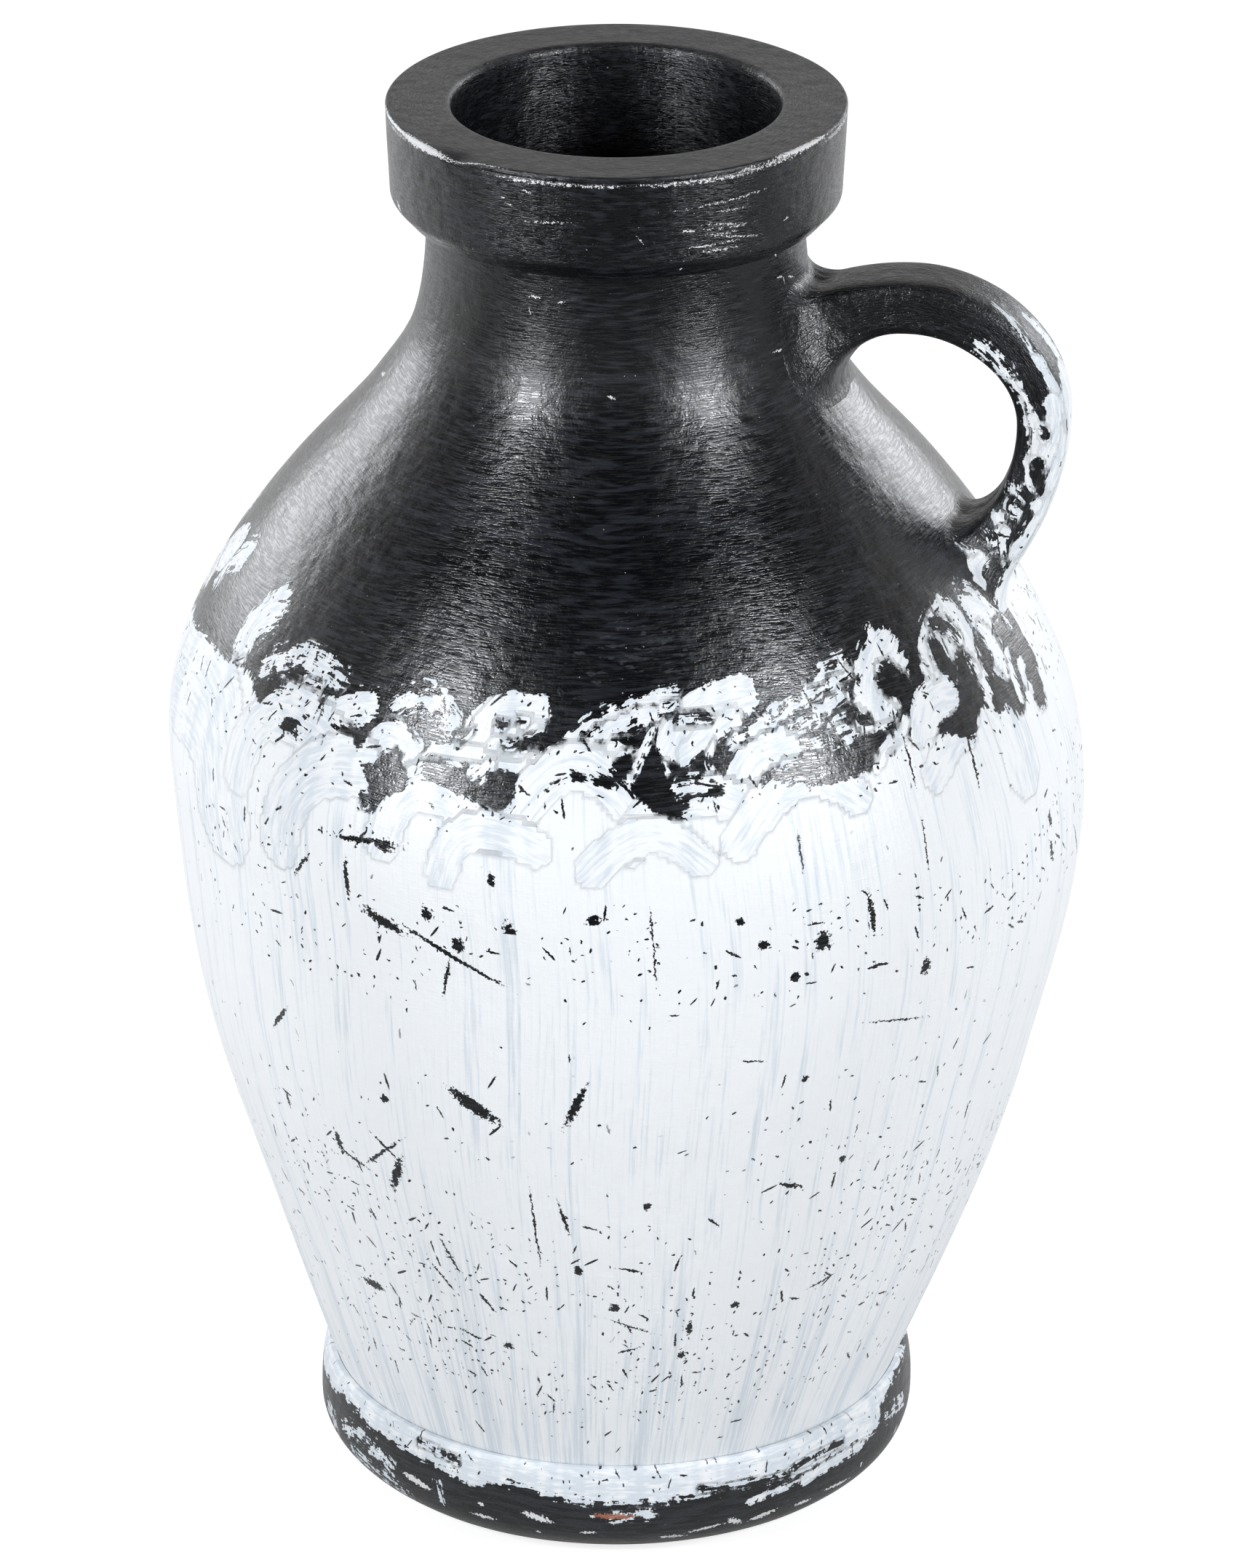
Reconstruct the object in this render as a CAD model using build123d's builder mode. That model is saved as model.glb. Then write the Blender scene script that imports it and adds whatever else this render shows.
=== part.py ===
from build123d import *
import math
import os

# A tall one-handled vase of low-fired red clay, put together the way a potter
# builds a large pot: a slab floor, a foot ring, two thrown body walls, a thrown
# neck, a heavy mouth collar and a pulled strap handle, luted to each other.
# Millimetres. The origin is the centre of the standing plane, +Z is up, and the
# handle stands on the +X side.

os.makedirs("parts", exist_ok=True)

# Clay
wall = 8.2
slip_film = 0.2

# Foot ring and floor slab: how far the ring stands out past the wall at its top and
# at its widest, and how far its standing face and its bore lie inside the slab's rim
foot_height = 36.0
foot_widest_height = 19.0
foot_step = 2.3
foot_roll = 4.5
foot_stand_inset = 4.9
foot_ledge_width = 15.9
foot_edge_round = 1.6
foot_underside_rise_share = 0.35
foot_top_turn_share = 0.45
ledge_height = 4.0
slab_thickness = 10.0

# Body
base_radius = 87.9
belly_radius = 150.6
belly_height = 254.4

# Neck and collar: how far the collar stands out past the neck at its top edge, over
# its lower bevel and under it
neck_radius = 61.0
collar_seat_height = 444.0
collar_overhang = 12.8
collar_lower_overhang = 11.4
collar_underside_width = 6.4
collar_bevel_height = 5.6
collar_height = 36.0
collar_edge_round = 2.6
collar_bevel_round = 3.6
lip_round = 3.4

# Keyed seams: a tongue on the upper piece sits in a groove in the lower piece
tongue_width = 3.0
tongue_depth = 2.5

# Coils pressed into the inside of the joints
belly_coil_radius = 6.0
floor_coil_width = 10.0

# Handle: a flattened strap, its centre line in the XZ plane. It starts in the neck's
# wall and ends in the shoulder's. The height shares of its root, crown and foot are of
# the rise from the belly to the collar, and the reach's is of the way from the foot to
# the root. The sinks are how far the centre line runs on inside the two outer faces.
strap_width = 24.0
strap_thickness = 17.4
strap_corner_share = 0.374
handle_root_height_share = 0.810
handle_root_sink = 8.0
handle_root_rise_share = 0.33
handle_crown_height_share = 0.8565
handle_crown_out_share = 0.456
handle_inset = 10.6
handle_reach_height_share = 0.686
handle_foot_height_share = 0.40
handle_foot_sink = 17.0
handle_foot_turn_share = 0.575

# Clay worked round the two ends of the handle: how far it spreads past the strap
# over it, under it and to each side, and where along the strap it starts and ends
lute_edge = 1.0
neck_lute_over = 0.2
neck_lute_under = 16.5
neck_lute_side = 12.0
neck_lute_start = 2.0
neck_lute_length = 34.0
shoulder_lute_over = 1.5
shoulder_lute_under = 14.0
shoulder_lute_side = 11.0
shoulder_lute_start = 4.0
shoulder_lute_length = 36.0

# Outlines of the thrown walls. Each row is a share of the height, a share of the
# change of radius, and the rise of the second share for each unit of the first.
lower_wall_shares = (
    (0.0, 0.0, 1.42),
    (0.371, 0.515, 1.29),
    (0.711, 0.880, 0.80),
    (1.0, 1.0, 0.0),
)
upper_wall_shares = (
    (0.0, 0.0, 0.0),
    (0.2073, 0.086, 0.877),
    (0.494, 0.465, 1.695),
    (0.668, 0.778, 1.540),
    (0.800, 0.947, 0.690),
    (1.0, 1.0, 0.0),
)
neck_seam_row = 3


def wall_points(shares, foot, top):
    """Radius, height and slope at each row, from the foot point to the top point."""
    radius_change = top[0] - foot[0]
    rise = top[1] - foot[1]
    return [
        (foot[0] + across * radius_change, foot[1] + up * rise, slope * radius_change / rise)
        for up, across, slope in shares
    ]


def radius_at(points, height):
    """Radius of the outer face at a height, by the cubic between the rows around it."""
    for below, above in zip(points, points[1:]):
        if below[1] <= height <= above[1]:
            gap = above[1] - below[1]
            way = (height - below[1]) / gap
            back = 1 - way
            return (
                below[0] * back**2 * (1 + 2 * way)
                + above[0] * way**2 * (1 + 2 * back)
                + gap * way * back * (below[2] * back - above[2] * way)
            )


def wall_line_at(points, depth):
    """The curve through the rows, moved under the outer face by a depth."""
    places = [(radius - depth * math.hypot(1, slope), height) for radius, height, slope in points]
    directions = [(slope, 1) for radius, height, slope in points]
    return Spline(*places, tangents=directions)


def wall_section(points, outer_depth, inner_depth):
    """Section of a wall between two depths under its outer face."""
    with BuildSketch() as section:
        with BuildLine():
            outer = wall_line_at(points, outer_depth)
            inner = wall_line_at(points, inner_depth)
            Line(outer @ 0, inner @ 0)
            Line(outer @ 1, inner @ 1)
        make_face()
    return section.sketch


def core_section(points, depth):
    """Section of everything inside a depth, from the wall to the axis."""
    with BuildSketch() as section:
        with BuildLine():
            face = wall_line_at(points, depth)
            Line(face @ 0, (0, (face @ 0).Y))
            Line((0, (face @ 0).Y), (0, (face @ 1).Y))
            Line((0, (face @ 1).Y), face @ 1)
        make_face()
    return section.sketch


def seam_tongue(radius, height):
    """Section of the tongue that hangs below a seam."""
    with BuildSketch() as section:
        with Locations((radius, height)):
            Rectangle(tongue_width, tongue_depth, align=(Align.CENTER, Align.MAX))
    return section.sketch


def seam_groove(radius, height):
    """Section of the groove below a seam, with room for a film of slip."""
    with BuildSketch() as section:
        with Locations((radius, height)):
            Rectangle(
                tongue_width + 2 * slip_film,
                tongue_depth + slip_film,
                align=(Align.CENTER, Align.MAX),
            )
    return section.sketch


def seam_radius(point):
    """Middle of the wall where a level seam crosses it."""
    radius, height, slope = point
    return radius - wall * math.hypot(1, slope) / 2


# Heights and radii that follow from the sizes above
slab_top = ledge_height + slab_thickness
vase_height = collar_seat_height + collar_height
mouth_radius = neck_radius - wall
lower_points = wall_points(lower_wall_shares, (base_radius, slab_top), (belly_radius, belly_height))
upper_points = wall_points(
    upper_wall_shares, (belly_radius, belly_height), (neck_radius, collar_seat_height)
)
neck_seam_height = upper_points[neck_seam_row][1]
belly_seam_radius = seam_radius(upper_points[0])
neck_seam_radius = seam_radius(upper_points[neck_seam_row])
collar_seam_radius = seam_radius(upper_points[-1])
wall_at_foot_top = radius_at(lower_points, foot_height)
strap_corner = strap_thickness * strap_corner_share

# Floor slab: a rolled disc that closes the bottom and rests in the foot ring
with BuildPart() as base_slab:
    with BuildSketch(Plane.XY.offset(ledge_height)):
        Circle(base_radius)
    extrude(amount=slab_thickness)
base_slab.part.label = "base_slab"
export_step(base_slab.part, "parts/base_slab.step")

# Foot ring: a rounded roll with a ledge under the slab, snug round the wall's foot
with BuildPart() as foot_ring:
    with BuildSketch(Plane.XZ):
        with BuildLine():
            bore_radius = base_radius - foot_ledge_width
            stand = Line((bore_radius, 0), (base_radius - foot_stand_inset, 0))
            roll = Spline(
                stand @ 1,
                (wall_at_foot_top + foot_roll, foot_widest_height),
                (wall_at_foot_top + foot_step, foot_height),
                tangents=((1, foot_underside_rise_share), (0, 1), (-foot_top_turn_share, 1)),
            )
            Line(roll @ 1, (bore_radius, foot_height))
            Line((bore_radius, foot_height), stand @ 0)
        make_face()
        add(core_section(lower_points, -slip_film), mode=Mode.SUBTRACT)
        with Locations((0, ledge_height)):
            Rectangle(
                base_radius + slip_film,
                slab_thickness,
                align=(Align.MIN, Align.MIN),
                mode=Mode.SUBTRACT,
            )
    revolve(axis=Axis.Z)
    top_edges = foot_ring.edges().filter_by(GeomType.CIRCLE).group_by(Axis.Z)[-1]
    fillet(top_edges.sort_by(SortBy.RADIUS)[-1], foot_edge_round)
foot_ring.part.label = "foot_ring"
export_step(foot_ring.part, "parts/foot_ring.step")

# Lower body wall: thrown, standing on the slab, grooved at the belly seam
with BuildPart() as lower_wall:
    with BuildSketch(Plane.XZ):
        add(wall_section(lower_points, 0, wall))
        add(seam_groove(belly_seam_radius, belly_height), mode=Mode.SUBTRACT)
    revolve(axis=Axis.Z)
lower_wall.part.label = "lower_wall"
export_step(lower_wall.part, "parts/lower_wall.step")

# Upper wall in one, later parted level at the neck seam
with BuildPart() as upper_wall:
    with BuildSketch(Plane.XZ):
        add(wall_section(upper_points, 0, wall))
    revolve(axis=Axis.Z)

# Shoulder: thrown upside down, tongued at the belly and grooved at the neck seam
with BuildPart() as shoulder_wall:
    add(upper_wall.part)
    split(bisect_by=Plane.XY.offset(neck_seam_height), keep=Keep.BOTTOM)
    with BuildSketch(Plane.XZ):
        add(seam_tongue(belly_seam_radius, belly_height))
    revolve(axis=Axis.Z)
    with BuildSketch(Plane.XZ):
        add(seam_groove(neck_seam_radius, neck_seam_height))
    revolve(axis=Axis.Z, mode=Mode.SUBTRACT)
shoulder_wall.part.label = "shoulder_wall"
export_step(shoulder_wall.part, "parts/shoulder_wall.step")

# Neck: a short thrown tube, flaring down to the shoulder
with BuildPart() as neck:
    add(upper_wall.part)
    split(bisect_by=Plane.XY.offset(neck_seam_height), keep=Keep.TOP)
    with BuildSketch(Plane.XZ):
        add(seam_tongue(neck_seam_radius, neck_seam_height))
    revolve(axis=Axis.Z)
    with BuildSketch(Plane.XZ):
        add(seam_groove(collar_seam_radius, collar_seat_height))
    revolve(axis=Axis.Z, mode=Mode.SUBTRACT)
neck.part.label = "neck"
export_step(neck.part, "parts/neck.step")

# Collar: a heavy square-edged ring round the mouth, overhanging the neck
with BuildPart() as rim_collar:
    with BuildSketch(Plane.XZ):
        with BuildLine():
            Polyline(
                (mouth_radius, collar_seat_height),
                (neck_radius + collar_underside_width, collar_seat_height),
                (neck_radius + collar_lower_overhang, collar_seat_height + collar_bevel_height),
                (neck_radius + collar_overhang, vase_height),
                (mouth_radius, vase_height),
                close=True,
            )
        make_face()
        add(seam_tongue(collar_seam_radius, collar_seat_height))
    revolve(axis=Axis.Z)
    rings = rim_collar.edges().filter_by(GeomType.CIRCLE)
    top_rings = rings.group_by(Axis.Z)[-1].sort_by(SortBy.RADIUS)
    bevel_height = collar_seat_height + collar_bevel_height
    bevel_rings = rings.filter_by(lambda ring: abs(ring.center().Z - bevel_height) < slip_film)
    fillet(bevel_rings, collar_bevel_round)
    fillet(top_rings[0], lip_round)
    fillet(top_rings[-1], collar_edge_round)
rim_collar.part.label = "rim_collar"
export_step(rim_collar.part, "parts/rim_collar.step")

# Coil pressed into the angle between the floor and the wall
floor_coil_foot = lower_points[0][0] - (wall + slip_film) * math.hypot(1, lower_points[0][2])
floor_coil_lean = floor_coil_width * lower_points[0][2]
with BuildPart() as floor_coil:
    with BuildSketch(Plane.XZ):
        with BuildLine():
            corner = (floor_coil_foot, slab_top)
            inner_toe = (floor_coil_foot - floor_coil_width, slab_top)
            upper_toe = (floor_coil_foot + floor_coil_lean, slab_top + floor_coil_width)
            Line(corner, inner_toe)
            RadiusArc(inner_toe, upper_toe, 2 * floor_coil_width)
            Line(upper_toe, corner)
        make_face()
    revolve(axis=Axis.Z)
floor_coil.part.label = "floor_coil"
export_step(floor_coil.part, "parts/floor_coil.step")

# Coil pressed flat over the inside of the belly seam
belly_inner_radius = belly_radius - wall - slip_film
with BuildPart() as belly_coil:
    with BuildSketch(Plane.XZ):
        with Locations((belly_inner_radius - slip_film, belly_height)):
            Circle(belly_coil_radius)
            Rectangle(
                belly_coil_radius,
                2 * belly_coil_radius,
                align=(Align.MAX, Align.CENTER),
                mode=Mode.INTERSECT,
            )
    revolve(axis=Axis.Z)
belly_coil.part.label = "belly_coil"
export_step(belly_coil.part, "parts/belly_coil.step")

# Centre line of the strap, from inside the neck's wall to inside the shoulder's
upper_rise = collar_seat_height - belly_height
root_height = belly_height + handle_root_height_share * upper_rise
landing_height = belly_height + handle_foot_height_share * upper_rise
reach_radius = belly_radius - handle_inset
foot_sink_rise = handle_foot_sink / math.hypot(1, handle_foot_turn_share)
foot_height_inside = landing_height - foot_sink_rise
with BuildLine(Plane.XZ) as strap_path:
    Spline(
        (radius_at(upper_points, root_height) - handle_root_sink, root_height),
        (
            neck_radius + handle_crown_out_share * (reach_radius - neck_radius),
            belly_height + handle_crown_height_share * upper_rise,
        ),
        (
            reach_radius,
            foot_height_inside + handle_reach_height_share * (root_height - foot_height_inside),
        ),
        (
            radius_at(upper_points, landing_height) - foot_sink_rise * handle_foot_turn_share,
            foot_height_inside,
        ),
        tangents=((1, handle_root_rise_share), (1, 0), (0, -1), (-handle_foot_turn_share, -1)),
    )
strap_line = strap_path.line.edge()


def strap_plane(distance):
    """Plane across the strap at a distance along its centre line."""
    share = distance / strap_line.length
    return Plane(origin=strap_line @ share, x_dir=(0, 1, 0), z_dir=strap_line % share)


# Body up to the collar, as the solid that the handle's clay is pressed against
with BuildPart() as body_core:
    with BuildSketch(Plane.XZ):
        add(core_section(upper_points, -slip_film))
    revolve(axis=Axis.Z)

# Strap handle: pulled, slightly heavier towards the neck
strap_swell_shares = (1.02, 1.04, 1.04, 1.03, 0.98, 0.95, 0.96, 1.0, 1.04)
with BuildPart() as strap:
    for index, swell_share in enumerate(strap_swell_shares):
        distance = strap_line.length * index / (len(strap_swell_shares) - 1)
        with BuildSketch(strap_plane(distance)):
            RectangleRounded(
                strap_width * swell_share, strap_thickness * swell_share, strap_corner
            )
    loft()
with BuildPart() as handle:
    add(strap.part)
    add(body_core.part, mode=Mode.SUBTRACT)
handle.part.label = "handle"
export_step(handle.part, "parts/handle.step")

# Clay worked round each end: wide in the wall, feathering out along the strap.
# Each row is a share of the way out, and a share of the spread past the strap.
lute_shares = ((0.0, 1.0), (0.25, 0.88), (0.5, 0.56), (0.75, 0.18), (1.0, 0.0))


def worked_clay(start, end, swell_share, over, under, side):
    """Flared sleeve round the strap, from a distance in the wall to one outside it."""
    with BuildPart() as sleeve:
        for way_share, spread_share in lute_shares:
            side_spread = lute_edge + side * spread_share
            face_spread = lute_edge + (over + under) * spread_share / 2
            with BuildSketch(strap_plane(start + (end - start) * way_share)):
                with Locations((0, (over - under) * spread_share / 2)):
                    RectangleRounded(
                        strap_width * swell_share + 2 * side_spread,
                        strap_thickness * swell_share + 2 * face_spread,
                        strap_corner + face_spread,
                    )
        loft()
        add(strap.part, mode=Mode.SUBTRACT)
        add(body_core.part, mode=Mode.SUBTRACT)
    return sleeve.part


with BuildPart() as neck_lute:
    add(
        worked_clay(
            neck_lute_start,
            neck_lute_length,
            strap_swell_shares[0],
            neck_lute_over,
            neck_lute_under,
            neck_lute_side,
        )
    )
neck_lute.part.label = "neck_lute"
export_step(neck_lute.part, "parts/neck_lute.step")

with BuildPart() as shoulder_lute:
    add(
        worked_clay(
            strap_line.length - shoulder_lute_start,
            strap_line.length - shoulder_lute_length,
            strap_swell_shares[-1],
            shoulder_lute_over,
            shoulder_lute_under,
            shoulder_lute_side,
        )
    )
shoulder_lute.part.label = "shoulder_lute"
export_step(shoulder_lute.part, "parts/shoulder_lute.step")

print("strap length", round(strap_line.length, 1))
print("vase height", vase_height, "mouth radius", mouth_radius)
print("neck seam height", round(neck_seam_height, 2))
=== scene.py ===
# %% [markdown]
# A one-handled clay vase, dressed for its picture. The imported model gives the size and
# place of every piece of clay. This script puts a worked clay surface and worn paint
# over those pieces, in the same frame and in metres.

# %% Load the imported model
import math
import random

import bmesh
import bpy
import numpy as np
from mathutils import Matrix, Vector
from mathutils.bvhtree import BVHTree


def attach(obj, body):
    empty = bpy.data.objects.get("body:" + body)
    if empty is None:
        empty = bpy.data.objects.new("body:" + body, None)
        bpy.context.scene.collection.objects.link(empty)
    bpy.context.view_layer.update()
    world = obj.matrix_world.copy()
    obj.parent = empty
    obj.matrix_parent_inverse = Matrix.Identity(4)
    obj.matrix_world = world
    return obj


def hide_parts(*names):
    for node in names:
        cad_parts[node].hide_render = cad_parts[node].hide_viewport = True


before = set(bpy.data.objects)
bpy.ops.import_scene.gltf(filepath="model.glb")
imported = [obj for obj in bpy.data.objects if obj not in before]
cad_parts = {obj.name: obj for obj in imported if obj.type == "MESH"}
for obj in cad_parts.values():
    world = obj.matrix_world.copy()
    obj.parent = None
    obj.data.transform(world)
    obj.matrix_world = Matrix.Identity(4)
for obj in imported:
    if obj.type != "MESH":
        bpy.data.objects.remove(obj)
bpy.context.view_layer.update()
MM = 0.001
IN_MM = 1000
print("pieces of clay:", sorted(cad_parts))


def add_object(name, data):
    """A new object in the scene, unmoved."""
    made = bpy.data.objects.new(name, data)
    bpy.context.scene.collection.objects.link(made)
    return made


# %% [markdown]
# The camera stands where the photographer stood. The ellipses of the mouth and the foot
# give how far down it looks, and how much they differ gives its distance. Its lens is
# long, so the vase hardly narrows towards the foot. The handle points a little towards
# the viewer, so the camera stands a few degrees round from the front.

# %% Camera
VASE_HEIGHT = 480 * MM
PICTURE_HEIGHT = 2156
TURN_TO_HANDLE = math.radians(9)
LOOK_DOWN = math.radians(24.40)
CAMERA_DISTANCE = 4.975 * VASE_HEIGHT
CAMERA_HEIGHT = 2.757 * VASE_HEIGHT
CAMERA_ASIDE = 3.7 * MM
LENS_IN_PIXELS = 10885
SENSOR = 36.0

camera = add_object("camera", bpy.data.cameras.new("camera"))
camera.data.sensor_fit = "VERTICAL"
camera.data.sensor_height = SENSOR
camera.data.lens = SENSOR * LENS_IN_PIXELS / PICTURE_HEIGHT
camera.data.clip_end = 20
to_right = Vector((math.cos(TURN_TO_HANDLE), math.sin(TURN_TO_HANDLE), 0))
to_viewer = Vector((math.sin(TURN_TO_HANDLE), -math.cos(TURN_TO_HANDLE), 0))
camera.location = to_viewer * CAMERA_DISTANCE + to_right * CAMERA_ASIDE
camera.location.z = CAMERA_HEIGHT
camera.rotation_euler = (math.radians(90) - LOOK_DOWN, 0, TURN_TO_HANDLE)
bpy.context.scene.camera = camera
bpy.context.scene.view_settings.view_transform = "Standard"
print("lens:", round(camera.data.lens, 1), "mm")

# %% [markdown]
# Every tree of nodes below, for a shape or for a paint, is written through two small
# classes. Tree adds a node from its type, its settings and its socket values. Level
# wraps a number socket, so that ordinary sums in Python add the Math nodes.


# %% Node trees written as sums
class Level:
    """A number that a node tree works out at each point."""

    def __init__(self, tree, socket):
        self.tree = tree
        self.socket = socket

    def __abs__(self):
        return self.tree.math("ABSOLUTE", self)

    def least(self, other):
        return self.tree.math("MINIMUM", self, other)

    def most(self, other):
        return self.tree.math("MAXIMUM", self, other)

    def ramp(self, low, high):
        """0 below low, 1 above high, and a smooth rise between them."""
        made = self.tree.node(
            "ShaderNodeMapRange",
            {"interpolation_type": "SMOOTHSTEP"},
            {"Value": self, "From Min": low, "From Max": high},
        )
        return Level(self.tree, made.outputs["Result"])


def teach_sum(sign, operation):
    """Lets a Level stand on either side of one sign of arithmetic."""

    def level_first(self, other):
        return self.tree.math(operation, self, other)

    def level_last(self, other):
        return self.tree.math(operation, other, self)

    setattr(Level, f"__{sign}__", level_first)
    setattr(Level, f"__r{sign}__", level_last)


for sign, operation in (
    ("add", "ADD"),
    ("sub", "SUBTRACT"),
    ("mul", "MULTIPLY"),
    ("truediv", "DIVIDE"),
    ("pow", "POWER"),
):
    teach_sum(sign, operation)


class Tree:
    """Adds nodes to one node tree."""

    def __init__(self, node_tree):
        self.nodes = node_tree.nodes
        self.links = node_tree.links
        self.nodes.clear()

    def node(self, kind, settings=None, sockets=None):
        made = self.nodes.new(kind)
        for name, value in (settings or {}).items():
            setattr(made, name, value)
        for name, value in (sockets or {}).items():
            self.feed(made.inputs[name], value)
        return made

    def feed(self, socket, value):
        if isinstance(value, Level):
            value = value.socket
        if isinstance(value, bpy.types.NodeSocket):
            self.links.new(value, socket)
        else:
            socket.default_value = value

    def math(self, operation, *values):
        made = self.node("ShaderNodeMath", {"operation": operation}, dict(enumerate(values)))
        return Level(self, made.outputs[0])

    def vector(self, operation, *values):
        made = self.node("ShaderNodeVectorMath", {"operation": operation}, dict(enumerate(values)))
        if operation in ("LENGTH", "DOT_PRODUCT"):
            return Level(self, made.outputs["Value"])
        return made.outputs["Vector"]

    def scaled(self, vector, factor):
        sockets = {0: vector, "Scale": factor}
        return self.node("ShaderNodeVectorMath", {"operation": "SCALE"}, sockets).outputs["Vector"]

    def join(self, x, y, z):
        return self.node("ShaderNodeCombineXYZ", None, {"X": x, "Y": y, "Z": z}).outputs["Vector"]

    def split(self, vector):
        made = self.node("ShaderNodeSeparateXYZ", None, {"Vector": vector})
        return [Level(self, made.outputs[axis]) for axis in "XYZ"]

    def noise(self, vector, size, detail=3.0, roughness=0.55):
        """Soft noise from about 0 to 1, whose largest lumps are about size across."""
        sockets = {"Vector": vector, "Scale": 1 / size, "Detail": detail, "Roughness": roughness}
        return Level(self, self.node("ShaderNodeTexNoise", None, sockets).outputs[0])

    def stretch(self, vector, across, back, up):
        return self.vector("MULTIPLY", vector, (across, back, up))

    def colour(self, factor, first, second):
        """The first colour at 0 and the second at 1."""
        made = self.node("ShaderNodeMix", {"data_type": "RGBA"})
        for place, value in ((0, factor), (6, first), (7, second)):
            self.feed(made.inputs[place], value)
        return made.outputs[2]


# %% [markdown]
# The clay walls were thrown on a wheel, so each is one drawn line turned about the axis.
# The line's rows are shares of the height and of the change in radius, as in the solid
# model, with a smooth curve through them. The same rows give every piece its face, so
# the joints between pieces don't show, as they don't once a potter has smoothed them.

# %% The drawn line of the walls
WALL = 8.2
SLIP_FILM = 0.2
FOOT_TOP = 36.0
SLAB_TOP = 14.0
BASE_RADIUS = 87.9
BELLY_RADIUS = 150.6
BELLY_HEIGHT = 254.4
NECK_SEAM_HEIGHT = 381.05
NECK_RADIUS = 61.0
COLLAR_SEAT = 444.0
RIM_HEIGHT = 480.0
LIP_RADIUS = 73.8
LOWER_SHARES = ((0, 0, 1.42), (0.371, 0.515, 1.29), (0.711, 0.880, 0.80), (1, 1, 0))
UPPER_SHARES = (
    (0, 0, 0), (0.2073, 0.086, 0.877), (0.494, 0.465, 1.695), (0.668, 0.778, 1.540),
    (0.800, 0.947, 0.690), (1, 1, 0),
)


def wall_rows(shares, foot, top):
    """Height, radius and slope at each row."""
    radius_change, rise = top[0] - foot[0], top[1] - foot[1]
    return [
        (foot[1] + up * rise, foot[0] + across * radius_change, slope * radius_change / rise)
        for up, across, slope in shares
    ]


WALL_ROWS = wall_rows(LOWER_SHARES, (BASE_RADIUS, SLAB_TOP), (BELLY_RADIUS, BELLY_HEIGHT))
WALL_ROWS += wall_rows(UPPER_SHARES, (BELLY_RADIUS, BELLY_HEIGHT), (NECK_RADIUS, COLLAR_SEAT))[1:]


def along_rows(rows, height):
    """Value and slope at a height, by the cubic between the rows around it."""
    for low, high in zip(rows, rows[1:]):
        if height <= high[0]:
            break
    gap = high[0] - low[0]
    way = min(max((height - low[0]) / gap, 0), 1)
    back = 1 - way
    value = low[1] * back**2 * (1 + 2 * way) + high[1] * way**2 * (1 + 2 * back)
    value += gap * way * back * (low[2] * back - high[2] * way)
    slope = 6 * way * back * (high[1] - low[1]) / gap
    slope += low[2] * back * (back - 2 * way) + high[2] * way * (way - 2 * back)
    return value, slope


def wall_line(low, high, depth, spacing):
    """Points of the wall's line between two heights, at a depth under its outer face."""
    count = max(2, round((high - low) / spacing))
    points = []
    for step in range(count + 1):
        height = low + (high - low) * step / count
        radius, slope = along_rows(WALL_ROWS, height)
        points.append((radius - depth * math.hypot(1, slope), height))
    return points


print("radius at the neck seam:", round(along_rows(WALL_ROWS, NECK_SEAM_HEIGHT)[0], 2))

# %% [markdown]
# Each piece's cut face is a closed line: up the outside, over the top, down the inside
# and back along the bottom. Corners that a potter's sponge softened get a small arc.


# %% The cut face of each piece
def corner_arc(before, corner, after, radius, steps=5):
    """Points of an arc that rounds one corner."""
    corner, to_before, to_after = Vector(corner), Vector(before), Vector(after)
    to_before = (to_before - corner).normalized()
    to_after = (to_after - corner).normalized()
    half = to_before.angle(to_after) / 2
    centre = corner + (to_before + to_after).normalized() * radius / math.sin(half)
    start = corner + to_before * radius / math.tan(half) - centre
    end = corner + to_after * radius / math.tan(half) - centre
    sweep = start.angle_signed(end)
    return [
        tuple(centre + Matrix.Rotation(-sweep * step / steps, 2) @ start)
        for step in range(steps + 1)
    ]


def rounded_line(corners):
    """A line through (radius, height, rounding) corners, with an arc at each rounding."""
    points = [corners[0][:2]]
    for before, corner, after in zip(corners, corners[1:], corners[2:]):
        if corner[2]:
            points += corner_arc(before[:2], corner[:2], after[:2], corner[2])
        else:
            points.append(corner[:2])
    points.append(corners[-1][:2])
    return points


def filled_in(points, spacing):
    """The same line with points no further apart than a spacing."""
    filled = [points[0]]
    for start, end in zip(points, points[1:]):
        steps = max(1, math.ceil(math.dist(start, end) / spacing))
        for step in range(1, steps + 1):
            share = step / steps
            filled.append(tuple(a + (b - a) * share for a, b in zip(start, end)))
    return filled


OUTER_SPACING = 2.2
FINE_SPACING = 1.6
INNER_SPACING = 7.0
STAND_INSIDE = 72.0
SLAB_SEAT = 4.0


def thrown_wall(low, high, spacing=OUTER_SPACING):
    """Outer line and inner line of a wall between two level seams."""
    outer = wall_line(low, high, 0, spacing)
    inner = wall_line(low, high, WALL, INNER_SPACING)[::-1]
    return outer, inner


def foot_lines():
    """Rolled outside of the foot, and the seat for the slab and the wall inside it."""
    wall_at_top = along_rows(WALL_ROWS, FOOT_TOP)[0]
    edge = FOOT_TOP - 1.2
    rows = [
        (0, 83.0, 2.6),
        (4.5, 93.2, 1.35),
        (19.0, wall_at_top + 4.5, 0),
        (edge, wall_at_top + 2.6, -0.3),
    ]
    outer = [(STAND_INSIDE, 0.0)]
    outer += [(along_rows(rows, height)[0], height) for height in np.linspace(0, edge, 40)]
    outer += [(wall_at_top + 1.8, FOOT_TOP), (wall_at_top + SLIP_FILM, FOOT_TOP)]
    inner = wall_line(SLAB_TOP, FOOT_TOP, -SLIP_FILM, 4)[::-1]
    inner += [(BASE_RADIUS + SLIP_FILM, SLAB_SEAT), (STAND_INSIDE, SLAB_SEAT)]
    return filled_in(outer, OUTER_SPACING), inner[1:]


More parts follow.
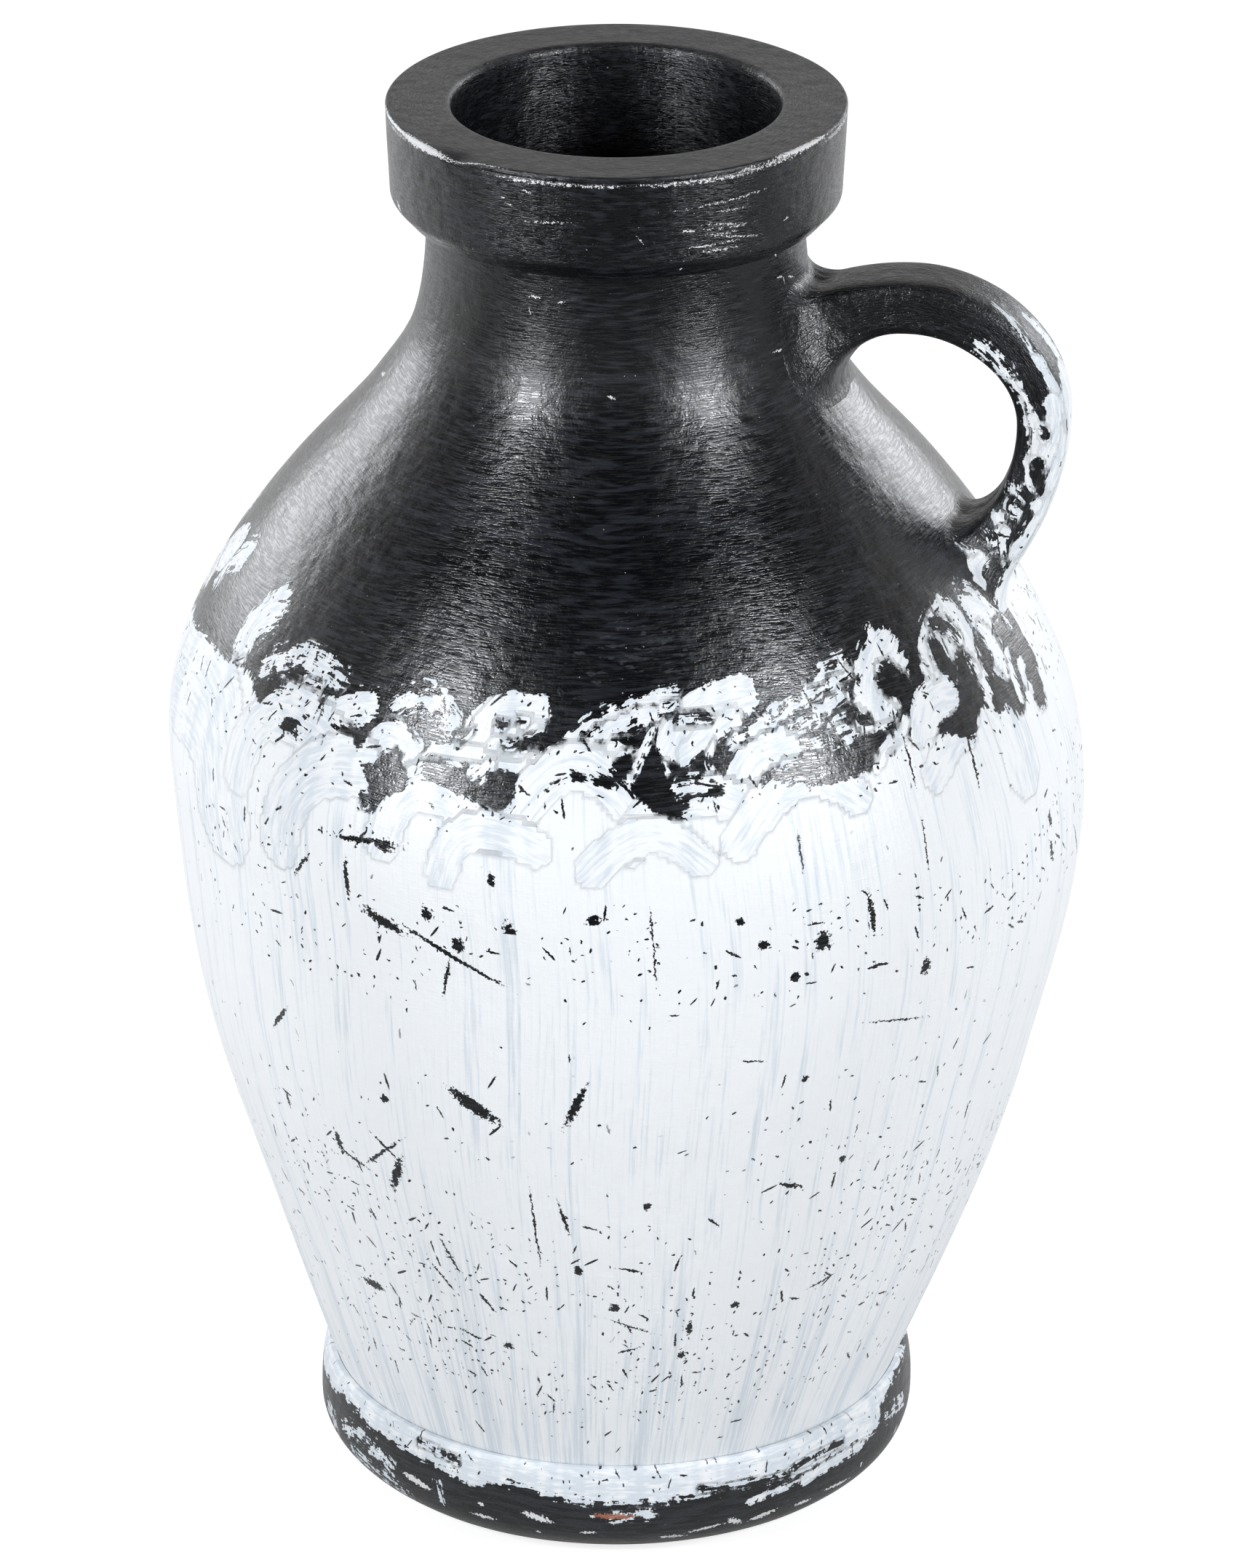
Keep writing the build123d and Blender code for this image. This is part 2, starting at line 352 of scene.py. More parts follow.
def collar_lines():
    """Outside, top and inside of the heavy ring round the mouth, and its seat."""
    mouth = NECK_RADIUS - WALL
    corners = [
        (mouth, COLLAR_SEAT, 0),
        (67.4, COLLAR_SEAT, 1.2),
        (72.4, COLLAR_SEAT + 5.6, 3.6),
        (73.7, RIM_HEIGHT - 3.0, 0.3),
        (73.1, RIM_HEIGHT - 2.0, 0.3),
        (LIP_RADIUS, RIM_HEIGHT - 1.6, 0.2),
        (LIP_RADIUS, RIM_HEIGHT, 0.9),
        (mouth, RIM_HEIGHT, 2.4),
        (mouth, COLLAR_SEAT, 0),
    ]
    return filled_in(rounded_line(corners), FINE_SPACING)[:-1], []


# %% [markdown]
# The potter's hand left the walls a few millimetres off true: the belly leans to one
# side, and the surface has soft swellings and faint rings from the wheel. The lean is a
# short table, and a row of it is a height, the lean there and how fast it grows.
# Swellings and rings come from noise in the node tree.

# %% How far the body leans, in millimetres
LEAN_ROWS = (
    (0, 0.0, 0.0), (43, 0.5, 0.03), (121, 3.0, 0.0), (160, 2.6, 0.0), (232, 4.8, 0.0),
    (285, 1.0, -0.05), (340, 0.0, 0.0), (480, 0.0, 0.0),
)
SWELLING = 0.9
WHEEL_RINGS = 0.10
WHEEL_SEED = 0.37
STEPS_ROUND, FINE_STEPS_ROUND = 400, 600
CREASE = math.radians(38)
BACK_OF_POT = math.radians(90) + TURN_TO_HANDLE


# %% Wheel: a Geometry Nodes tree that turns a drawn line into a thrown wall
def thrown_on_the_wheel():
    """Group that bends a grid of points round the axis, one row for each drawn point."""
    group = bpy.data.node_groups.new("thrown_on_the_wheel", "GeometryNodeTree")
    tree = Tree(group)
    sockets = {}
    for name, kind in (
        ("Drawn line", "NodeSocketGeometry"),
        ("Points", "NodeSocketInt"),
        ("Steps round", "NodeSocketInt"),
        ("Lean towards", "NodeSocketVector"),
        ("Swelling", "NodeSocketFloat"),
        ("Wheel rings", "NodeSocketFloat"),
        ("Seed", "NodeSocketFloat"),
        ("Clay", "NodeSocketMaterial"),
    ):
        sockets[name] = group.interface.new_socket(name, in_out="INPUT", socket_type=kind)
    group.interface.new_socket("Wall", in_out="OUTPUT", socket_type="NodeSocketGeometry")
    given = tree.node("NodeGroupInput").outputs
    points = Level(tree, given["Points"])
    steps = Level(tree, given["Steps round"])
    grid = tree.node(
        "GeometryNodeMeshGrid",
        None,
        {"Size X": 1.0, "Size Y": 1.0, "Vertices X": steps + 1, "Vertices Y": points + 1},
    )
    index = Level(tree, tree.node("GeometryNodeInputIndex").outputs[0])
    column = tree.math("FLOOR", (index + 0.5) / (points + 1))
    row = index - column * (points + 1)
    drawn_index = tree.math("FLOORED_MODULO", row, points)
    position = tree.node("GeometryNodeInputPosition").outputs[0]
    drawn = tree.node(
        "GeometryNodeSampleIndex",
        {"data_type": "FLOAT_VECTOR"},
        {"Geometry": given["Drawn line"], "Value": position, "Index": drawn_index},
    )
    radius, lean, height = tree.split(drawn.outputs["Value"])
    angle = column / steps * (2 * math.pi) + BACK_OF_POT
    outwards = tree.join(tree.math("COSINE", angle), tree.math("SINE", angle), 0.0)
    level = tree.vector("ADD", tree.scaled(outwards, radius), tree.join(0.0, 0.0, height))
    seeded = tree.vector("ADD", level, tree.join(given["Seed"], 0.0, 0.0))
    swelling = (tree.noise(seeded, 0.085, 1.5) - 0.5) * Level(tree, given["Swelling"])
    flat = tree.stretch(seeded, 0.12, 0.12, 1.0)
    rings = (tree.noise(flat, 0.0075, 2.0) - 0.5) * Level(tree, given["Wheel rings"])
    pushed = tree.scaled(outwards, (swelling + rings) * 2)
    leaned = tree.scaled(given["Lean towards"], lean)
    place = tree.vector("ADD", tree.vector("ADD", level, pushed), leaned)
    bent = tree.node(
        "GeometryNodeSetPosition", None, {"Geometry": grid.outputs["Mesh"], "Position": place}
    )
    kept = tree.node(
        "GeometryNodeStoreNamedAttribute",
        {"data_type": "FLOAT2", "domain": "CORNER"},
        {"Geometry": bent.outputs[0], "Name": "turned", "Value": grid.outputs["UV Map"]},
    )
    closed = tree.node(
        "GeometryNodeMergeByDistance", None, {"Geometry": kept.outputs[0], "Distance": 1e-6}
    )
    real = tree.node("GeometryNodeRealizeInstances", None, {"Geometry": closed.outputs[0]})
    coated = tree.node(
        "GeometryNodeSetMaterial", None, {"Geometry": real.outputs[0], "Material": given["Clay"]}
    )
    tree.node("NodeGroupOutput", None, {0: coated.outputs[0]})
    return group, {name: socket.identifier for name, socket in sockets.items()}


WHEEL, WHEEL_SOCKETS = thrown_on_the_wheel()
print("wheel tree:", len(WHEEL.nodes), "nodes")


# %% Turning one piece
def turned_piece(name, outer, inner, material, steps):
    """A closed ring of clay from its outer and inner lines, as a plain mesh object."""
    line = list(outer) + list(inner)
    drawn = bpy.data.meshes.new(name + "_line")
    drawn.from_pydata(
        [
            (radius * MM, along_rows(LEAN_ROWS, height)[0] * MM, height * MM)
            for radius, height in line
        ],
        [(i, (i + 1) % len(line)) for i in range(len(line))],
        [],
    )
    thrown = add_object(name + "_drawn", drawn)
    wheel = thrown.modifiers.new("wheel", "NODES")
    wheel.node_group = WHEEL
    for socket, value in (
        ("Points", len(line)),
        ("Steps round", steps),
        ("Lean towards", tuple(to_right)),
        ("Swelling", SWELLING * MM),
        ("Wheel rings", WHEEL_RINGS * MM),
        ("Seed", WHEEL_SEED),
        ("Clay", material),
    ):
        wheel[WHEEL_SOCKETS[socket]] = value
    bpy.context.view_layer.update()
    evaluated = thrown.evaluated_get(bpy.context.evaluated_depsgraph_get())
    mesh = bpy.data.meshes.new_from_object(evaluated)
    mesh.name = name
    bpy.data.objects.remove(thrown)
    piece = add_object(name, mesh)
    if mesh_volume(mesh) < 0:
        mesh.flip_normals()
    lay_out_for_paint(mesh, len(outer) - 1, len(line))
    mesh.shade_smooth()
    mesh.set_sharp_from_angle(angle=CREASE)
    print(name, len(mesh.polygons), "faces")
    return piece


def points_of(mesh):
    """The mesh's points in millimetres, one row for each."""
    places = np.empty(len(mesh.vertices) * 3)
    mesh.vertices.foreach_get("co", places)
    return places.reshape(-1, 3) / MM


def lay_out_for_paint(mesh, outer_count, count):
    """One map of the unrolled wall for the paint, and one with no overlaps for baking."""
    turned = np.empty(len(mesh.loops) * 2)
    mesh.uv_layers["turned"].data.foreach_get("uv", turned)
    turn, row = turned.reshape(-1, 2).T
    corners = np.empty(len(mesh.loops), dtype=int)
    mesh.loops.foreach_get("vertex_index", corners)
    over_rim = mesh.name == "mouth_collar"
    heights = (over_the_top(mesh) if over_rim else points_of(mesh)[:, 2])[corners] * MM
    unrolled = mesh.uv_layers.new(name="unrolled")
    unrolled.data.foreach_set("uv", np.column_stack([turn, heights]).ravel())
    sides = len(mesh.loops) // len(mesh.polygons)
    middle_turn = turn.reshape(-1, sides).mean(axis=1).repeat(sides)
    middle_row = row.reshape(-1, sides).mean(axis=1).repeat(sides) * count
    outer_share = np.clip(row * count / outer_count, 0, 1)
    inner_share = (row * count - outer_count) / max(count - outer_count, 1)
    # The outside fills two bands, a half turn in each, and the inside a thinner third.
    second = middle_turn > 0.5
    across = np.where(second, turn * 2 - 1, turn * 2)
    up = outer_share * 0.41 + 0.01 + np.where(second, 0.43, 0)
    inner = middle_row > outer_count
    across = np.where(inner, turn, across) * 0.98 + 0.01
    up = np.where(inner, 0.87 + inner_share * 0.12, up)
    baked = mesh.uv_layers.new(name="OFBake")
    baked.data.foreach_set("uv", np.column_stack([across, up]).ravel())


def over_the_top(mesh):
    """Height up the collar's side, which goes on growing across its top and down inside."""
    x, y, height = points_of(mesh).T
    radius = np.hypot(x, y)
    inwards = LIP_RADIUS - radius
    over = np.where(height > RIM_HEIGHT - 3, height + inwards, height)
    return np.where(radius < 60, RIM_HEIGHT + inwards + RIM_HEIGHT - height, over)


def mesh_volume(mesh):
    body = bmesh.new()
    body.from_mesh(mesh)
    volume = body.calc_volume(signed=True)
    body.free()
    return volume


# %% [markdown]
# The white went on with a brush about 25 mm wide, in short dabs along its upper edge and
# long upright strokes below. Where the white stops, and the path of each dab, are read
# off the real vase and kept as short tables. A path is three points on the
# unrolled wall, the way round in millimetres from the front and the height, then its
# width and how dry the brush was. A worn place is its middle, half its length, half its
# height and how worn it is. Each point of the clay then knows how far inside the white
# it lies and where it lies across the bristles. The paint's nodes do the rest.

# %% Paths of the brush
GIRTH = 2 * math.pi * BELLY_RADIUS
WHITE_EDGE = (
    (-473, 312), (-440, 318), (-400, 304), (-360, 320), (-320, 306), (-290, 322), (-262, 311),
    (-240, 304), (-231, 302), (-204, 307), (-175, 308), (-157, 310), (-139, 300), (-123, 300),
    (-113, 307), (-98, 306), (-91, 299), (-84, 288), (-78, 292), (-71, 299), (-60, 299),
    (-50, 296), (-40, 293), (-33, 295), (-28, 300), (-15, 304), (-6, 303), (4, 301), (11, 296),
    (22, 299), (35, 298), (47, 300), (59, 301), (65, 298), (75, 297), (97, 298), (104, 302),
    (112, 304), (118, 302), (130, 299), (142, 299), (148, 302), (157, 297), (172, 300), (182, 297),
    (187, 292), (194, 293), (198, 312), (200, 330), (225, 328), (250, 317), (280, 309), (310, 322),
    (345, 305), (380, 315), (410, 304), (440, 316), (473, 312),
)
WHITE, BLACK, OVER = 1, -1, 0
READ_FROM, READ_TO = -238, 214
PAINT_ENDS_INSIDE = 404
FAR_INSIDE = 20.0
DABS = (
    (WHITE, -224, 321, -222, 326, -212, 331, 9, 8),
    (WHITE, -170, 316, -169, 323, -162, 328, 14, 6),
    (WHITE, -169, 326, -168, 319, -168, 313, 8.5, 3),
    (WHITE, -150, 315, -132, 321, -111, 320, 6, 9),
    (WHITE, -138, 301, -131, 308, -120, 311, 11, 7), (WHITE, -117, 304, -108, 311, -95, 315, 9, 6),
    (WHITE, -90, 303, -84, 309, -73, 306, 8.5, 3.5), (WHITE, -82, 317, -70, 321, -55, 312, 5.8, 8),
    (WHITE, -71, 302, -55, 308, -31, 308, 7.3, 3), (BLACK, -66, 302, -51, 302, -36, 300, 6, 4),
    (BLACK, -85, 290, -82, 295, -80, 301, 7.6, 7), (WHITE, -49, 314, -45, 320, -29, 322, 9.5, 2.2),
    (WHITE, -43, 311, -37, 316, -30, 318, 10, 2.2), (WHITE, -56, 309, -55, 316, -48, 323, 2.8, 2),
    (WHITE, -48, 305, -38, 309, -23, 306, 6.4, 6), (BLACK, -32, 313, -24, 316, -18, 317, 3.4, 3),
    (WHITE, -30, 296, -22, 308, 2, 310, 9.6, 2.2), (WHITE, -19, 310, -6, 321, 23, 327, 3.3, 4),
    (WHITE, -15, 311, 2, 320, 23, 323, 5.3, 9), (BLACK, 4, 307, 12, 301, 20, 297, 9.2, 2.5),
    (BLACK, 18, 309, 28, 306, 41, 303, 8.3, 2.5), (WHITE, 20, 314, 30, 322, 49, 325, 10.9, 2.2),
    (WHITE, 24, 312, 32, 316, 44, 321, 8.2, 2.5), (WHITE, 19, 321, 11, 314, 5, 304, 2.3, 2),
    (WHITE, 20, 314, 17, 310, 18, 306, 2.1, 1.5), (WHITE, 35, 314, 32, 308, 35, 304, 2.1, 1.5),
    (WHITE, 21, 301, 34, 302, 48, 301, 4, 6), (WHITE, 42, 301, 49, 308, 61, 310, 10.8, 2.5),
    (WHITE, 43, 313, 61, 318, 93, 326, 4.8, 9), (WHITE, 51, 309, 69, 315, 88, 320, 4.5, 9),
    (WHITE, 99, 308, 103, 318, 113, 325, 18, 5), (WHITE, 78, 325, 85, 326, 94, 327, 3.9, 8),
    (WHITE, 91, 321, 90, 317, 90, 310, 2.2, 1.5), (WHITE, 97, 315, 104, 314, 114, 312, 1.5, 3),
    (WHITE, 92, 310, 97, 312, 109, 313, 1.2, 2), (WHITE, 72, 308, 89, 310, 106, 308, 2.6, 8),
    (WHITE, 78, 311, 82, 314, 87, 315, 1.1, 3), (BLACK, 91, 315, 92, 312, 95, 311, 3.6, 2),
    (BLACK, 82, 305, 93, 305, 105, 306, 5.4, 2.5), (BLACK, 70, 303, 78, 302, 91, 299, 3.7, 5),
    (BLACK, 110, 320, 116, 314, 113, 306, 10.2, 2.5),
    (WHITE, 100, 302, 106, 304, 111, 307, 4.6, 2.5), (WHITE, 93, 296, 98, 301, 104, 303, 5, 3),
    (WHITE, 135, 317, 135, 323, 152, 329, 9.5, 2.5), (WHITE, 156, 327, 157, 322, 156, 313, 14, 4),
    (WHITE, 148, 321, 157, 318, 161, 314, 11.8, 3), (WHITE, 129, 320, 132, 315, 143, 313, 3.5, 2),
    (BLACK, 139, 322, 139, 318, 141, 315, 7.7, 2.5), (BLACK, 143, 329, 149, 327, 153, 323, 5, 7),
    (BLACK, 150, 313, 144, 307, 137, 301, 12.2, 3), (WHITE, 116, 302, 124, 309, 134, 310, 11.8, 2),
    (WHITE, 155, 313, 156, 307, 153, 303, 4.7, 5), (WHITE, 172, 325, 178, 322, 184, 316, 15, 9),
    (BLACK, 168, 312, 169, 306, 170, 301, 16.4, 3.5),
    (BLACK, 183, 314, 188, 308, 194, 303, 9.6, 5), (BLACK, 190, 302, 188, 297, 188, 293, 9.9, 3),
    (WHITE, 171, 321, 173, 315, 170, 308, 8.6, 3), (WHITE, 179, 310, 176, 305, 174, 297, 4.1, 2),
    (WHITE, 186, 304, 182, 301, 183, 296, 4.4, 2), (BLACK, 196, 314, 196, 309, 196, 302, 3.4, 2),
    (BLACK, -43, 317, -42, 317, -41, 317, 2.6, 3), (BLACK, -35, 319, -34, 319, -33, 319, 2.4, 3),
    (BLACK, -39, 312, -37, 312, -35, 313, 2.2, 4), (BLACK, 23, 320, 29, 320.5, 35, 320, 2.0, 6),
    (BLACK, -15, 305.6, -14, 305.6, -13, 305, 1.8, 3),
    (BLACK, -57, 313, -55, 313, -53, 314, 1.8, 5),
    (OVER, -208, 291, -171, 290, -156, 265, 38.7, 1),
    (OVER, -146, 283, -136, 304, -104, 301, 18.1, 1),
    (OVER, -79, 278, -67, 297, -42, 286, 14.8, 1), (OVER, -37, 287, -15, 307, 8, 292, 14.2, 1),
    (OVER, 4, 284, 22, 299, 47, 292, 13.3, 1), (OVER, 40, 284, 62, 300, 83, 292, 13.4, 1),
    (OVER, -122, 267, -114, 289, -93, 298, 19.7, 1), (OVER, -57, 272, -48, 286, -26, 283, 12.6, 1),
    (OVER, -8, 277, 10, 288, 27, 280, 12.4, 1), (OVER, 116, 290, 128, 297, 136, 298, 11.8, 1),
    (OVER, 161, 279, 161, 293, 160, 300, 21.9, 1),
)
RUBBED_PLACES = (
    (-88, 277, 15, 5, 0.5), (-60, 250, 34, 12, 0.6), (-83, 255, 10, 6, 0.6),
    (0, 255, 30, 12, 0.45), (75, 252, 26, 10, 0.7), (108, 255, 16, 8, 0.7),
    (175, 252, 20, 14, 0.8), (-140, 262, 40, 14, 0.5), (205, 256, 26, 12, 0.7),
    (-110, 235, 60, 14, 0.45), (40, 236, 60, 10, 0.4), (150, 240, 50, 14, 0.6),
    (-60, 120, 80, 26, 0.55), (40, 92, 70, 26, 0.6), (-120, 140, 40, 30, 0.6),
    (130, 120, 60, 40, 0.6), (0, 70, 130, 16, 0.55), (-90, 85, 60, 24, 0.7),
    (300, 120, 130, 50, 0.6), (-300, 120, 130, 50, 0.6), (330, 255, 110, 14, 0.6),
    (-330, 255, 110, 14, 0.6), (90, 170, 60, 30, 0.3), (-40, 180, 50, 20, 0.2),
)
SCUFFED_PLACES = (
    (20, 338, 46, 10, 0.9), (70, 336, 40, 12, 1.0), (100, 326, 34, 7, 0.8), (-20, 330, 24, 6, 0.5),
    (60, 318, 30, 5, 0.6), (-120, 345, 30, 6, 0.3), (290, 335, 60, 10, 0.8),
    (-300, 335, 60, 10, 0.8),
)


# %% From the paths to numbers at each point of the clay
def way_round(mesh):
    """Millimetres round the unrolled wall from the front, height and radius of each point."""
    x, y, height = points_of(mesh).T
    right = x * to_right.x + y * to_right.y
    front = x * to_viewer.x + y * to_viewer.y
    return np.arctan2(right, front) * BELLY_RADIUS, height, np.hypot(right, front)


def wrapped(distance):
    return (distance + GIRTH / 2) % GIRTH - GIRTH / 2


def under_brush(across, up, path):
    """Distance from the middle of a brush path, sideways place and way along it."""
    start, middle, end = (np.array(path[i : i + 2], dtype=float) for i in (0, 2, 4))
    pull = 2 * middle - (start + end) / 2
    shares = np.linspace(0, 1, 9)[:, None]
    line = start * (1 - shares) ** 2 + 2 * pull * shares * (1 - shares) + end * shares**2
    nearest = np.full(len(across), 1e6)
    sideways, along, run = np.zeros(len(across)), np.zeros(len(across)), 0.0
    for first, last in zip(line, line[1:]):
        step = last - first
        length = max(math.hypot(*step), 1e-6)
        share = ((across - first[0]) * step[0] + (up - first[1]) * step[1]) / length**2
        held = np.clip(share, 0, 1)
        away = np.hypot(across - first[0] - held * step[0], up - first[1] - held * step[1])
        side = (step[0] * (up - first[1]) - step[1] * (across - first[0])) / length
        closer = away < nearest
        nearest = np.where(closer, away, nearest)
        sideways = np.where(closer, side, sideways)
        along = np.where(closer, run + share * length, along)
        run += length
    return nearest, sideways, along


def brush_on(across, up, white, dabs):
    """White level, dryness and bristle place after all dabs, in the order they were made."""
    dry = np.full(len(across), 2.2)
    bristle, length, brushed = (np.zeros(len(across)) for _ in range(3))
    for number, (kind, *path, width, dryness) in enumerate(dabs):
        centre = path[2]
        local = wrapped(across - centre)
        flat = [value - centre if place % 2 == 0 else value for place, value in enumerate(path)]
        away, sideways, along = under_brush(local, up, flat)
        # The drier the brush, the deeper the middle of its path has to lie to cover. The
        # driest ones lie less deep again, so that gaps stay in them.
        fullest = 1.2 + 0.5 * dryness if dryness < 7 else 4.7 - 0.4 * (dryness - 7)
        level = np.minimum(width / 2 - away, fullest)
        if kind == OVER:
            takes = away < width / 2
        elif kind == WHITE:
            takes = (level > white) & (away < width / 2 + 3)
            white = np.maximum(white, level)
        else:
            takes = (-level < white) & (away < width / 2 + 1)
            white = np.minimum(white, -level)
        if kind != OVER:
            dry = np.where(takes, dryness, dry)
        bristle = np.where(takes, sideways + number * 37, bristle)
        length = np.where(takes, along, length)
        brushed = np.where(takes, 1.0, brushed)
    return {
        "white": np.clip(white, -FAR_INSIDE, FAR_INSIDE),
        "dry": dry,
        "bristle": bristle,
        "stroke": length,
        "brushed": brushed,
    }


def made_up_dabs(seed, first, last, count):
    """Dabs of the same kinds round the back, where none could be read."""
    dice = random.Random(seed)
    dabs = []
    for step in range(count):
        start = first + (last - first) * (step + dice.uniform(0.1, 0.9)) / count
        edge = float(np.interp(wrapped(start), *zip(*WHITE_EDGE)))
        run, rise = dice.uniform(8, 26), dice.uniform(3, 18)
        low = edge + dice.uniform(-3, 5)
        bow = dice.uniform(0, 5)
        path = (start, low, start + run / 2, low + rise / 2 + bow, start + run, low + rise)
        dabs.append((WHITE, *path, dice.choice((4, 7, 11, 16)), dice.choice((2, 3, 5, 8))))
        if dice.random() < 0.6:
            path = (start, edge - 3, start + 6, edge - 5, start + 12, edge - 2)
            dabs.append((BLACK, *path, dice.uniform(3, 7), 6))
    return dabs


def soft_spots(around, height, spots):
    total = np.zeros_like(around)
    for centre, up, half_length, half_height, amount in spots:
        away = (wrapped(around - centre) / half_length) ** 2 + ((height - up) / half_height) ** 2
        total = np.maximum(total, amount * np.exp(-(away**1.5)))
    return total


def body_paint_numbers(mesh):
    around, height, _ = way_round(mesh)
    white = np.interp(around, *zip(*WHITE_EDGE)) - height
    dabs = made_up_dabs(7, READ_TO, GIRTH + READ_FROM, 30) + list(DABS)
    numbers = brush_on(around, height, white, dabs)
    numbers["rubbed"] = soft_spots(around, height, RUBBED_PLACES)
    numbers["rubbed"] = np.maximum(numbers["rubbed"], np.interp(height, (284, 300), (0, 0.6)))
    numbers["scuffed"] = soft_spots(around, height, SCUFFED_PLACES)
    numbers["bare"] = inner_face(mesh) * FAR_INSIDE
    return numbers


def inner_face(mesh):
    """1 on the wall's inside and its seams, -1 on its outside."""
    faces_way = np.array([vertex.normal for vertex in mesh.vertices])
    outwards = (points_of(mesh)[:, :2] * faces_way[:, :2]).sum(axis=1)
    return np.where(outwards < 0, 1.0, -1.0)


def neck_paint_numbers(mesh):
    """Paint runs over the rim and ends as a ragged edge some way down the neck's inside."""
    around, height, _ = way_round(mesh)
    inside = inner_face(mesh) > 0
    bare = np.where(inside, PAINT_ENDS_INSIDE - height, -FAR_INSIDE)
    return {"bare": bare, "scuffed": np.zeros_like(around)}


def keep_numbers(mesh, numbers):
    for name, values in numbers.items():
        kept = mesh.attributes.new(name, "FLOAT", "POINT")
        kept.data.foreach_set("value", np.asarray(values, dtype=np.float32))


# %% [markdown]
# On the foot the white was brushed round and stops on the roll. The black under it shows
# more to the right, where the brush turned away. White flecks were dragged along below.

# %% Where the white coat lies on the foot
FOOT_EDGE = (
    (-473, 26), (-400, 24), (-330, 28), (-260, 27), (-215, 28), (-199, 28), (-177, 31), (-145, 29),
    (-118, 28), (-96, 27), (-78, 24), (-53, 28), (-21, 24), (9, 24), (40, 25), (60, 25), (93, 24),
    (128, 25), (150, 23), (162, 25), (166, 31), (187, 34), (225, 36), (260, 30), (300, 26),
    (340, 25), (400, 27), (473, 26),
)
UNDER_FOOT = 90
BARE_STAND = 78
BRUSH_START = 260
FOOT_DABS = (
    (WHITE, -146, 22, -137, 21, -128, 19, 3.4, 8), (WHITE, -174, 20, -164, 22, -154, 22, 3.4, 9),
    (WHITE, -200, 19, -193, 18, -186, 16, 3.4, 9), (WHITE, -165, 14, -142, 12, -118, 11, 2.2, 9),
    (WHITE, -96, 21, -95, 18, -94, 15, 1.8, 7), (WHITE, -2, 19, 8, 20, 18, 20, 1.6, 9),
    (WHITE, 67, 19, 90, 21, 112, 22, 2.0, 2), (WHITE, 100, 21, 125, 23, 146, 23, 4.2, 2.2),
    (BLACK, 42, 27, 62, 26, 92, 25, 2.2, 5), (BLACK, 92, 26, 110, 28, 129, 28, 1.8, 2.2),
    (BLACK, -110, 33, -96, 32, -84, 31, 1.6, 4), (WHITE, 172, 25, 185, 24, 199, 22, 2.2, 9),
    (WHITE, 240, 15, 262, 16, 284, 15, 2, 8), (WHITE, 350, 18, 372, 17, 395, 18, 2.2, 9),
    (WHITE, -440, 14, -415, 15, -392, 15, 2.2, 9), (WHITE, -320, 18, -296, 17, -270, 18, 2.4, 9),
)


def foot_paint_numbers(mesh):
    around, height, radius = way_round(mesh)
    white = height - np.interp(around, *zip(*FOOT_EDGE))
    numbers = brush_on(around, height, white, FOOT_DABS)
    numbers["white"] = np.where(radius < UNDER_FOOT, -FAR_INSIDE, numbers["white"])
    plain = numbers["brushed"] == 0
    numbers["bristle"] = np.where(plain, height, numbers["bristle"])
    numbers["stroke"] = np.where(plain, abs(wrapped(around - BRUSH_START)), numbers["stroke"])
    numbers["brushed"] = np.ones_like(around)
    numbers["dry"] = np.where(plain, 3.4, numbers["dry"])
    numbers["rubbed"] = np.full_like(around, 0.3)
    standing = (height < 6) & (radius < 82)
    numbers["bare"] = np.where(standing, BARE_STAND - radius, -FAR_INSIDE)
    return numbers


# %% [markdown]
# All paints share one recipe. A black coat with fine brush lines round the pot goes on
# first. White goes over it where the numbers say, thin along the bristle lines. It is
# chipped by small dashes and specks, and by the larger chips that are listed. A listed
# mark is its middle, half its length, half its width and its tilt in degrees. Red clay
# shows where both coats have worn through. Heights for the bump are in millimetres.

# %% Places and marks that the paints use
UPPER_MARKS = (
    (-65, 257, 1.8, 2.3, 0), (-37, 254, 2.1, 4.4, 8), (-42, 272, 1.4, 2.2, 0),
    (-81, 252, 8.1, 1.6, -19), (-87, 277, 11.8, 0.9, 8), (-88, 278, 5.4, 0.6, 59),
    (-79, 277, 3.4, 1.8, 0), (-94, 263, 6.7, 0.8, -88), (-113, 262, 5.2, 0.6, 51),
    (8, 256, 8.8, 0.3, 89), (81, 254, 6.6, 0.8, -84), (62, 254, 3.7, 0.8, -15),
    (59, 279, 6.5, 0.4, 88), (105, 271, 7.6, 0.3, 86), (107, 297, 8, 0.5, 86),
    (135, 291, 9, 0.5, 84), (-10, 261, 2.3, 1.6, 20), (-13, 250, 1.9, 1.7, 0),
    (36, 259, 1.4, 1.3, 0), (91, 252, 1.2, 2, 0), (171, 256, 3.2, 1.0, -76),
)
